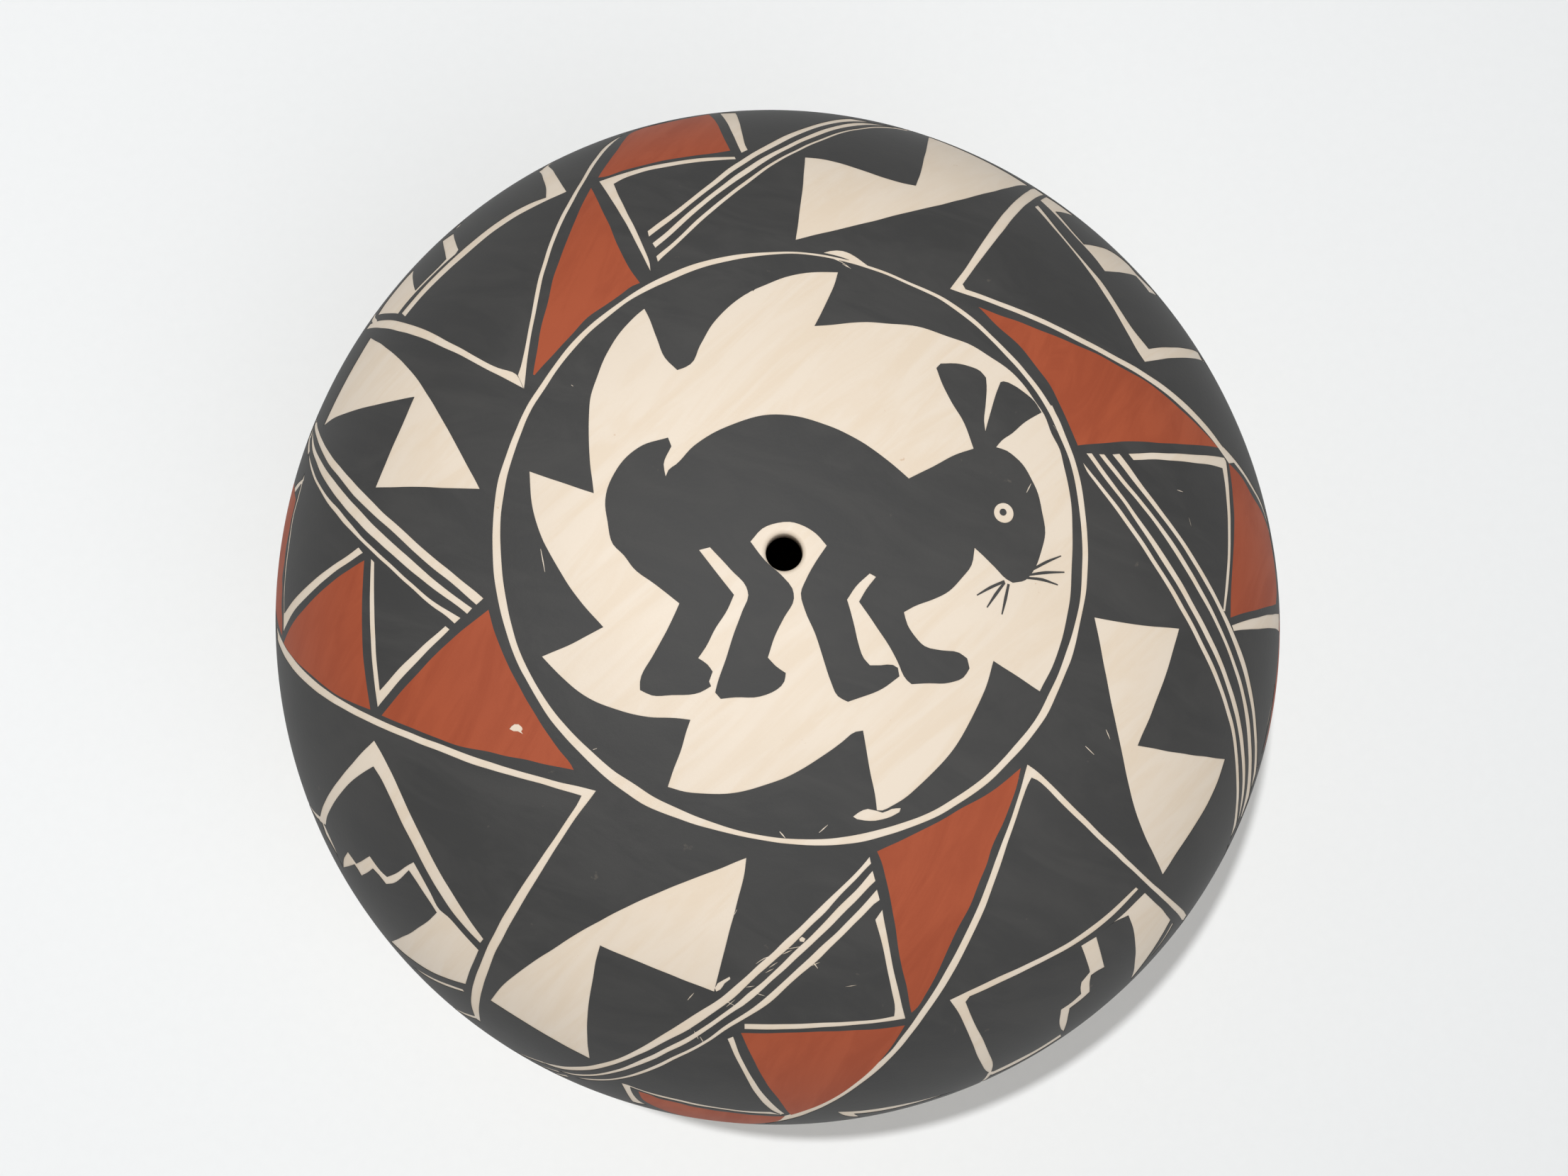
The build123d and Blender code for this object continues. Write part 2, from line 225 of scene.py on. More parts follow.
RING_INNER = [
    (896, 420), (916, 409), (936, 400), (956, 391), (978, 383), (1003, 374), (1029, 368),
    (1054, 363), (1082, 359), (1110, 358), (1138, 359), (1161, 362), (1196, 370), (1231, 380),
    (1259, 392), (1287, 404), (1308, 415), (1323, 420), (1338, 431), (1356, 444), (1374, 458),
    (1389, 472), (1405, 486), (1420, 504), (1435, 519), (1448, 535), (1461, 553), (1471, 568),
    (1479, 581), (1488, 599), (1495, 616), (1502, 632), (1508, 647), (1513, 665), (1517, 683),
    (1521, 706), (1524, 731), (1526, 757), (1527, 785), (1526, 830), (1523, 855), (1516, 884),
    (1507, 912), (1503, 920), (1499, 934), (1493, 949), (1488, 962), (1481, 976), (1474, 989),
    (1466, 1005), (1458, 1019), (1449, 1031), (1438, 1043), (1427, 1055), (1419, 1066),
    (1409, 1078), (1388, 1097), (1367, 1113), (1342, 1129), (1317, 1143), (1291, 1155),
    (1266, 1164), (1241, 1171), (1216, 1176), (1190, 1181), (1165, 1184), (1136, 1184),
    (1106, 1183), (1081, 1180), (1056, 1175), (1030, 1168), (1005, 1160), (980, 1150),
    (955, 1140), (929, 1129), (904, 1112), (879, 1095), (864, 1086), (849, 1074), (832, 1058),
    (816, 1043), (801, 1027), (787, 1011), (774, 995), (763, 977), (752, 959), (744, 943),
    (735, 923), (728, 905), (723, 888), (719, 872), (717, 861), (712, 835), (709, 813),
    (706, 785), (705, 757), (706, 730), (710, 702), (715, 675), (721, 650), (729, 630),
    (737, 610), (743, 590), (751, 575), (761, 561), (772, 543), (784, 525), (794, 511),
    (808, 496), (821, 480), (836, 466), (851, 452), (867, 439), (881, 429),
]

MEDALLION = [
    (1182, 384), (1178, 398), (1165, 429), (1149, 460), (1174, 458), (1209, 455), (1250, 456),
    (1294, 461), (1330, 472), (1366, 485), (1392, 500), (1419, 518), (1442, 541), (1459, 565),
    (1473, 585), (1484, 612), (1495, 634), (1500, 655), (1511, 709), (1513, 767), (1511, 825),
    (1502, 887), (1484, 941), (1467, 975), (1436, 955), (1402, 933), (1392, 967), (1376, 1004),
    (1361, 1031), (1347, 1053), (1333, 1071), (1315, 1091), (1296, 1109), (1275, 1127),
    (1258, 1137), (1245, 1143), (1237, 1143), (1234, 1120), (1228, 1093), (1222, 1059),
    (1217, 1031), (1207, 1033), (1188, 1047), (1165, 1064), (1140, 1080), (1115, 1093),
    (1089, 1104), (1060, 1113), (1030, 1119), (1001, 1120), (967, 1117), (942, 1110),
    (951, 1083), (960, 1060), (969, 1030), (974, 1016), (960, 1014), (916, 1012), (871, 1001), (817, 976),
    (791, 954), (765, 926), (808, 907), (851, 885), (817, 847), (791, 807), (764, 758), (750, 709),
    (747, 665), (792, 681), (838, 696), (833, 655), (831, 621), (831, 594), (833, 563), (842, 532),
    (853, 505), (871, 474), (893, 449), (909, 436), (916, 449), (927, 478), (938, 505), (955, 522),
    (967, 518), (974, 514), (987, 487), (1005, 458), (1027, 434), (1050, 416), (1080, 402),
    (1107, 391), (1138, 385),
]

RABBIT = [
    (939, 672), (943, 663), (954, 655), (978, 630), (1023, 603), (1080, 586), (1125, 588),
    (1169, 601), (1214, 623), (1259, 655), (1282, 675), (1328, 652), (1352, 640), (1373, 633),
    (1357, 590), (1342, 566), (1330, 543), (1321, 519), (1327, 513), (1348, 513), (1366, 517),
    (1383, 524), (1391, 533), (1392, 545), (1390, 572), (1388, 594), (1390, 609), (1395, 590),
    (1403, 562), (1411, 539), (1415, 538), (1428, 543), (1444, 554), (1459, 567), (1469, 582),
    (1444, 597), (1428, 611), (1413, 621), (1405, 631), (1420, 636), (1432, 645), (1442, 655),
    (1454, 674), (1462, 690), (1469, 721), (1474, 752), (1468, 780), (1457, 806), (1447, 818),
    (1429, 822), (1420, 817), (1403, 800), (1387, 784), (1375, 773), (1370, 797), (1358, 814),
    (1339, 834), (1316, 846), (1288, 856), (1275, 863), (1280, 881), (1291, 898), (1305, 912),
    (1328, 918), (1353, 921), (1364, 929), (1367, 943), (1358, 956), (1339, 963), (1311, 964),
    (1286, 965), (1280, 960), (1266, 932), (1246, 898), (1229, 873), (1212, 849), (1222, 831),
    (1236, 814), (1227, 809), (1207, 828), (1195, 846), (1200, 862), (1204, 878), (1210, 907),
    (1218, 929), (1227, 939), (1243, 939), (1260, 938), (1267, 942), (1269, 954), (1245, 972),
    (1196, 990), (1182, 982), (1172, 961), (1163, 933), (1149, 892), (1136, 861), (1130, 837),
    (1137, 818), (1151, 792), (1166, 770), (1151, 753), (1134, 742), (1113, 736), (1096, 738),
    (1075, 746), (1059, 764), (1080, 792), (1106, 815), (1118, 830), (1120, 844), (1106, 871),
    (1093, 899), (1083, 927), (1094, 939), (1108, 949), (1106, 961), (1089, 977), (1072, 983),
    (1037, 984), (1017, 986), (1009, 977), (1012, 964), (1024, 930), (1036, 892), (1048, 861),
    (1056, 840), (1053, 828), (1031, 803), (1002, 772), (986, 776), (1010, 806), (1036, 839),
    (1027, 858), (1010, 885), (996, 913), (985, 928), (998, 937), (1005, 947), (1000, 961),
    (1003, 968), (988, 977), (948, 980), (920, 981), (903, 973), (903, 961), (920, 927),
    (941, 889), (958, 851), (924, 825), (893, 801), (880, 784), (865, 768), (857, 737), (854, 713),
    (860, 682), (875, 655), (907, 628), (942, 618), (947, 630), (936, 655),
]
EYE_PLACE = (1416, 724)
PUPIL_PLACE = (1415, 723)
WHISKERS = [
    [(1457, 803), (1476, 793), (1497, 784)],
    [(1451, 811), (1476, 808), (1502, 807)],
    [(1447, 815), (1470, 818), (1492, 825)],
    [(1417, 820), (1397, 829), (1378, 840)],
    [(1417, 822), (1404, 839), (1392, 857)],
    [(1423, 824), (1418, 845), (1413, 867)],
]

# Bare shapes of the band, sector by sector: lines, steps, fields and bolts
BARE_SHAPES = {
    "A": [
        [
            (799, 271), (764, 287), (728, 305), (692, 330), (657, 360), (626, 389), (594, 418),
            (572, 447), (567, 442), (590, 413), (623, 381), (652, 353), (688, 323), (724, 299),
            (753, 284), (770, 279), (772, 268), (768, 257), (763, 242), (756, 235), (770, 228),
            (780, 239), (788, 255),
        ],
        [
            (533, 445), (542, 428), (559, 407), (576, 387), (584, 381), (582, 393), (586, 410),
            (603, 392), (621, 376), (630, 365), (628, 355), (625, 340), (640, 330), (642, 340),
            (647, 353), (643, 359), (635, 365), (617, 383), (599, 400), (586, 414), (574, 426),
            (562, 443),
        ],
        [(638, 327), (647, 311), (656, 305), (653, 314), (648, 320)],
        [
            (739, 549), (743, 514), (748, 480), (752, 460), (759, 424), (768, 384), (777, 353),
            (791, 318), (809, 286), (826, 255), (844, 226), (862, 204), (884, 184), (911, 171),
            (907, 169), (880, 181), (858, 201), (839, 226), (821, 255), (802, 286), (784, 320),
            (771, 353), (761, 389), (752, 427), (746, 462), (743, 482), (738, 504), (735, 518),
            (730, 530),
        ],
        [
            (728, 529), (710, 525), (666, 501), (630, 480), (594, 463), (559, 452), (536, 452),
            (522, 458), (515, 463), (515, 466), (523, 464), (547, 464), (568, 468), (590, 475),
            (630, 492), (666, 509), (692, 525), (719, 538), (738, 548),
        ],
        [
            (845, 256), (871, 247), (898, 239), (942, 229), (996, 222), (1036, 221), (1038, 225),
            (996, 228), (942, 235), (898, 245), (876, 253), (866, 260), (869, 268), (884, 300),
            (898, 326), (911, 353), (918, 376), (917, 383), (912, 375), (907, 358), (893, 335),
            (880, 309), (864, 284), (852, 266),
        ],
        [
            (1008, 151), (1020, 150), (1032, 151), (1037, 158), (1043, 171), (1046, 183),
            (1048, 196), (1051, 206), (1055, 212), (1046, 216), (1041, 207), (1036, 193),
            (1029, 181), (1022, 168), (1015, 158),
        ],
        [
            (1136, 222), (1160, 223), (1183, 230), (1214, 239), (1250, 253), (1279, 260),
            (1292, 262), (1297, 254), (1301, 233), (1305, 215), Wall(72, 107), Wall(67, 106),
            Wall(62, 104.5), Wall(58.5, 103), (1446, 261), (1433, 265), (1392, 275),
            (1348, 285), (1294, 299), (1236, 311), (1178, 326), (1122, 339), (1125, 318),
            (1133, 273), (1134, 237),
        ],
    ],
    "B": [
        [
            (1340, 408), (1357, 387), (1375, 358), (1392, 333), (1410, 309), (1428, 286),
            (1444, 274), (1459, 266), (1468, 265), (1475, 272), (1459, 279), (1444, 292),
            (1428, 309), (1410, 332), (1392, 355), (1372, 382), (1358, 401), (1362, 408),
            (1401, 422), (1455, 442), (1509, 469), (1562, 496), (1607, 521), (1642, 543),
            (1674, 570), (1705, 603), (1727, 634), (1741, 653), (1733, 654), (1718, 631),
            (1692, 600), (1665, 573), (1634, 546), (1598, 524), (1553, 499), (1509, 477),
            (1459, 451), (1401, 429), (1366, 417),
        ],
        [
            (1459, 292), (1482, 318), (1509, 350), (1535, 381), (1558, 416), (1576, 445),
            (1593, 475), (1607, 501), (1615, 511), (1634, 507), (1660, 506), (1703, 508),
            (1706, 501), (1696, 494), (1656, 491), (1620, 492), (1597, 465), (1579, 438),
            (1565, 410), (1551, 396), (1542, 382), (1528, 369), (1505, 341), (1482, 313),
            (1464, 290),
        ],
        [
            (1467, 283), (1476, 278), (1486, 279), (1503, 289), (1524, 302), (1541, 315),
            (1555, 323), (1553, 327), (1532, 315), (1516, 306), (1503, 301), (1489, 299),
            (1503, 315), (1516, 331), (1529, 345), (1549, 348), (1566, 353), (1585, 362),
            (1593, 373), (1604, 386), (1616, 396), (1631, 405), (1646, 420), (1658, 436),
            (1671, 455), (1667, 451), (1654, 434), (1646, 426), (1635, 415), (1621, 413),
            (1614, 403), (1602, 390), (1587, 386), (1570, 384), (1558, 383), (1545, 365),
            (1532, 350), (1520, 340), (1503, 319), (1486, 301),
        ],
        [
            (1591, 640), (1627, 639), (1664, 640), (1696, 643), (1727, 646), (1730, 652),
            (1733, 685), (1736, 721), (1736, 757), (1735, 794), (1733, 830), (1728, 863),
            (1725, 861), (1728, 830), (1731, 794), (1732, 757), (1731, 721), (1728, 685),
            (1724, 661), (1718, 658), (1696, 655), (1664, 651), (1627, 648), (1598, 649),
        ],
        [
            (1737, 882), (1757, 876), (1770, 871), (1786, 868), (1799, 865), Wall(87.8, 114),
            Wall(85.6, 114), (1799, 884), (1782, 887), (1767, 888), (1747, 888), (1740, 890),
        ],
        [(1773, 1081), (1784, 1074), (1782, 1085), (1776, 1085)],
        [
            (1544, 871), (1602, 884), (1663, 887), (1651, 941), (1605, 1052), (1660, 1063),
            (1728, 1071), (1718, 1102), (1705, 1134), (1683, 1169), (1660, 1201), (1640, 1234),
            (1627, 1205), (1611, 1174), (1600, 1142), (1593, 1111), (1585, 1080), (1562, 976),
        ],
    ],
    "C": [
        [
            (1449, 1078), (1458, 1084), (1468, 1093), (1480, 1104), (1497, 1121), (1522, 1147),
            (1562, 1185), (1602, 1225), (1638, 1259), (1665, 1279), (1677, 1294), (1672, 1302),
            (1660, 1288), (1634, 1263), (1593, 1225), (1553, 1187), (1518, 1154), (1486, 1122),
            (1473, 1108), (1462, 1099), (1455, 1097), (1449, 1107), (1445, 1118), (1434, 1152),
            (1426, 1176), (1418, 1200), (1412, 1217), (1404, 1242), (1394, 1271), (1383, 1296),
            (1372, 1319), (1360, 1342), (1347, 1368), (1333, 1391), (1318, 1414), (1305, 1433),
            (1289, 1454), (1272, 1475), (1253, 1498), (1227, 1519), (1196, 1542), (1160, 1562),
            (1125, 1576), (1080, 1584), (1080, 1579), (1122, 1570), (1156, 1555), (1189, 1535),
            (1221, 1509), (1241, 1500), (1255, 1483), (1270, 1464), (1285, 1445), (1299, 1426),
            (1312, 1405), (1326, 1384), (1337, 1363), (1349, 1342), (1362, 1317), (1373, 1292),
            (1387, 1263), (1396, 1236), (1403, 1215), (1409, 1200), (1418, 1177), (1430, 1144),
            (1440, 1112),
        ],
        [
            (1340, 1410), (1366, 1397), (1410, 1377), (1455, 1357), (1495, 1337), (1531, 1314),
            (1567, 1286), (1602, 1251), (1606, 1254), (1571, 1293), (1535, 1321), (1500, 1342),
            (1459, 1363), (1415, 1384), (1388, 1397), (1368, 1405), (1362, 1413), (1370, 1437),
            (1383, 1458), (1393, 1481), (1404, 1505), (1397, 1514), (1390, 1514), (1381, 1493),
            (1370, 1468), (1359, 1442), (1348, 1419),
        ],
        [
            (1392, 1515), (1428, 1497), (1464, 1480), (1495, 1459), (1497, 1462), (1464, 1483),
            (1433, 1502), (1401, 1520),
        ],
        [
            (1615, 1259), (1634, 1276), (1651, 1298), (1634, 1328), (1615, 1355), (1594, 1382),
            (1600, 1351), (1602, 1328), (1599, 1309), (1592, 1291), (1569, 1300), (1554, 1313),
            (1588, 1288), (1601, 1272),
        ],
        [
            (1525, 1334), (1535, 1328), (1546, 1321), (1551, 1341), (1558, 1364), (1548, 1369),
            (1539, 1376), (1536, 1387), (1537, 1399), (1528, 1408), (1509, 1422), (1506, 1431),
            (1506, 1440), (1500, 1455), (1496, 1454), (1491, 1436), (1496, 1424), (1514, 1413),
            (1525, 1401), (1523, 1392), (1525, 1385), (1537, 1371), (1532, 1351),
        ],
        [
            (1235, 1297), (1245, 1283), (1249, 1308), (1256, 1348), (1265, 1388), (1272, 1415),
            (1277, 1437), (1250, 1442), (1205, 1446), (1147, 1450), (1080, 1453), (1050, 1452),
            (1050, 1444), (1080, 1445), (1147, 1442), (1205, 1441), (1250, 1437), (1261, 1433),
            (1264, 1428), (1259, 1401), (1250, 1357), (1242, 1321),
        ],
        [
            (1026, 1465), (1034, 1462), (1045, 1491), (1059, 1520), (1080, 1546), (1093, 1560),
            (1108, 1571), (1102, 1572), (1093, 1569), (1080, 1560), (1065, 1542), (1050, 1515),
            (1035, 1486),
        ],
        [
            (1180, 1568), (1214, 1567), (1259, 1560), (1303, 1550), (1348, 1538), (1388, 1522),
            (1348, 1542), (1303, 1554), (1259, 1564), (1223, 1570), (1205, 1571), (1214, 1579),
            (1223, 1581), (1209, 1581), (1194, 1575),
        ],
        [
            (876, 1527), (885, 1529), (896, 1534), (910, 1539), (926, 1543), (943, 1547), (960, 1551),
            (976, 1555), (993, 1558), (1009, 1561), (1026, 1563), (1042, 1566), (1059, 1567),
            (1076, 1568), (1087, 1568), (1107, 1573), (1089, 1571), (1067, 1571), (1042, 1568),
            (1026, 1566), (1009, 1563), (993, 1561), (976, 1558), (960, 1554), (943, 1550),
            (926, 1546), (913, 1542), (903, 1538), (893, 1535), (889, 1533), (891, 1541), (896, 1547),
            (903, 1554), (913, 1558), (900, 1556), (893, 1554), (887, 1546), (882, 1537),
        ],
        [
            (1053, 1210), (1050, 1236), (1041, 1272), (1030, 1308), (1018, 1357), (1007, 1399),
            (969, 1384), (929, 1368), (884, 1350), (847, 1334), (840, 1352), (836, 1384),
            (829, 1428), (828, 1464), (832, 1493), (800, 1477), (759, 1453), (719, 1428),
            (692, 1411), (706, 1392), (728, 1372), (759, 1352), (795, 1328), (835, 1303),
            (876, 1283), (916, 1263), (960, 1245), (1014, 1227),
        ],
    ],
    "D": [
        [
            (841, 1115), (826, 1134), (813, 1154), (795, 1180), (773, 1214), (751, 1250),
            (733, 1281), (715, 1312), (699, 1343), (688, 1370), (680, 1397), (675, 1424),
            (679, 1442), (672, 1437), (663, 1419), (666, 1392), (675, 1366), (686, 1339),
            (701, 1308), (720, 1276), (742, 1241), (764, 1209), (786, 1178), (804, 1151),
            (815, 1134), (820, 1122), (804, 1117), (773, 1108), (728, 1096), (692, 1087),
            (630, 1064), (581, 1044), (531, 1024), (477, 997), (436, 968), (404, 932), (389, 902),
            (386, 888), (392, 886), (396, 899), (410, 923), (440, 958), (479, 987), (532, 1014),
            (581, 1034), (630, 1054), (692, 1074), (737, 1091), (782, 1101), (818, 1109),
        ],
        [
            (528, 1044), (495, 1080), (469, 1112), (454, 1141), (451, 1158), (460, 1164),
            (460, 1157), (471, 1132), (492, 1106), (515, 1086), (527, 1081), (535, 1092),
            (544, 1112), (561, 1147), (590, 1205), (614, 1251), (637, 1286), (660, 1312),
            (677, 1330), (682, 1324), (660, 1292), (631, 1251), (602, 1193), (573, 1135),
            (550, 1083), (538, 1060),
        ],
        [
            (454, 1158), (459, 1165), (469, 1187), (478, 1207), (485, 1225), (483, 1218),
            (472, 1198), (460, 1176),
        ],
        [
            (484, 1209), (491, 1201), (497, 1209), (503, 1218), (512, 1214), (522, 1207),
            (530, 1218), (538, 1230), (547, 1237), (563, 1232), (576, 1219), (584, 1216),
            (594, 1234), (608, 1259), (621, 1283), (630, 1288), (648, 1310), (666, 1330),
            (675, 1340), (672, 1348), (663, 1370), (657, 1388), (630, 1381), (603, 1368),
            (576, 1350), (552, 1328), (568, 1321), (590, 1310), (612, 1294), (616, 1287),
            (611, 1278), (598, 1260), (586, 1240), (577, 1228), (568, 1238), (552, 1250), (545, 1247),
            (534, 1232), (526, 1225), (518, 1232), (510, 1235), (504, 1224), (500, 1219),
            (492, 1222), (485, 1224),
        ],
        [
            (576, 1359), (603, 1379), (630, 1390), (656, 1399), (653, 1395), (630, 1387),
            (605, 1376),
        ],
        [
            (523, 788), (521, 849), (523, 916), (528, 965), (533, 998), (546, 979), (635, 888),
            (629, 883), (572, 932), (536, 974), (530, 932), (529, 866), (528, 793),
        ],
        [
            (431, 667), (427, 676), (421, 681), (415, 690), (412, 702), (416, 696), (421, 689),
            (424, 684), (429, 678),
        ],
        [
            (506, 772), (512, 780), (496, 792), (478, 803), (457, 819), (439, 837), (423, 852),
            (411, 868), (405, 881), (400, 893), (400, 868), (407, 856), (421, 839), (437, 823),
            (455, 808), (473, 796), (492, 783),
        ],
        [
            (677, 690), (603, 688), (530, 688), (554, 631), (585, 560), (537, 571), (489, 583),
            (470, 590), (457, 601), (487, 539), (523, 477), (545, 488), (569, 510), (593, 537),
            (613, 571), (634, 610), (656, 651),
        ],
    ],
}

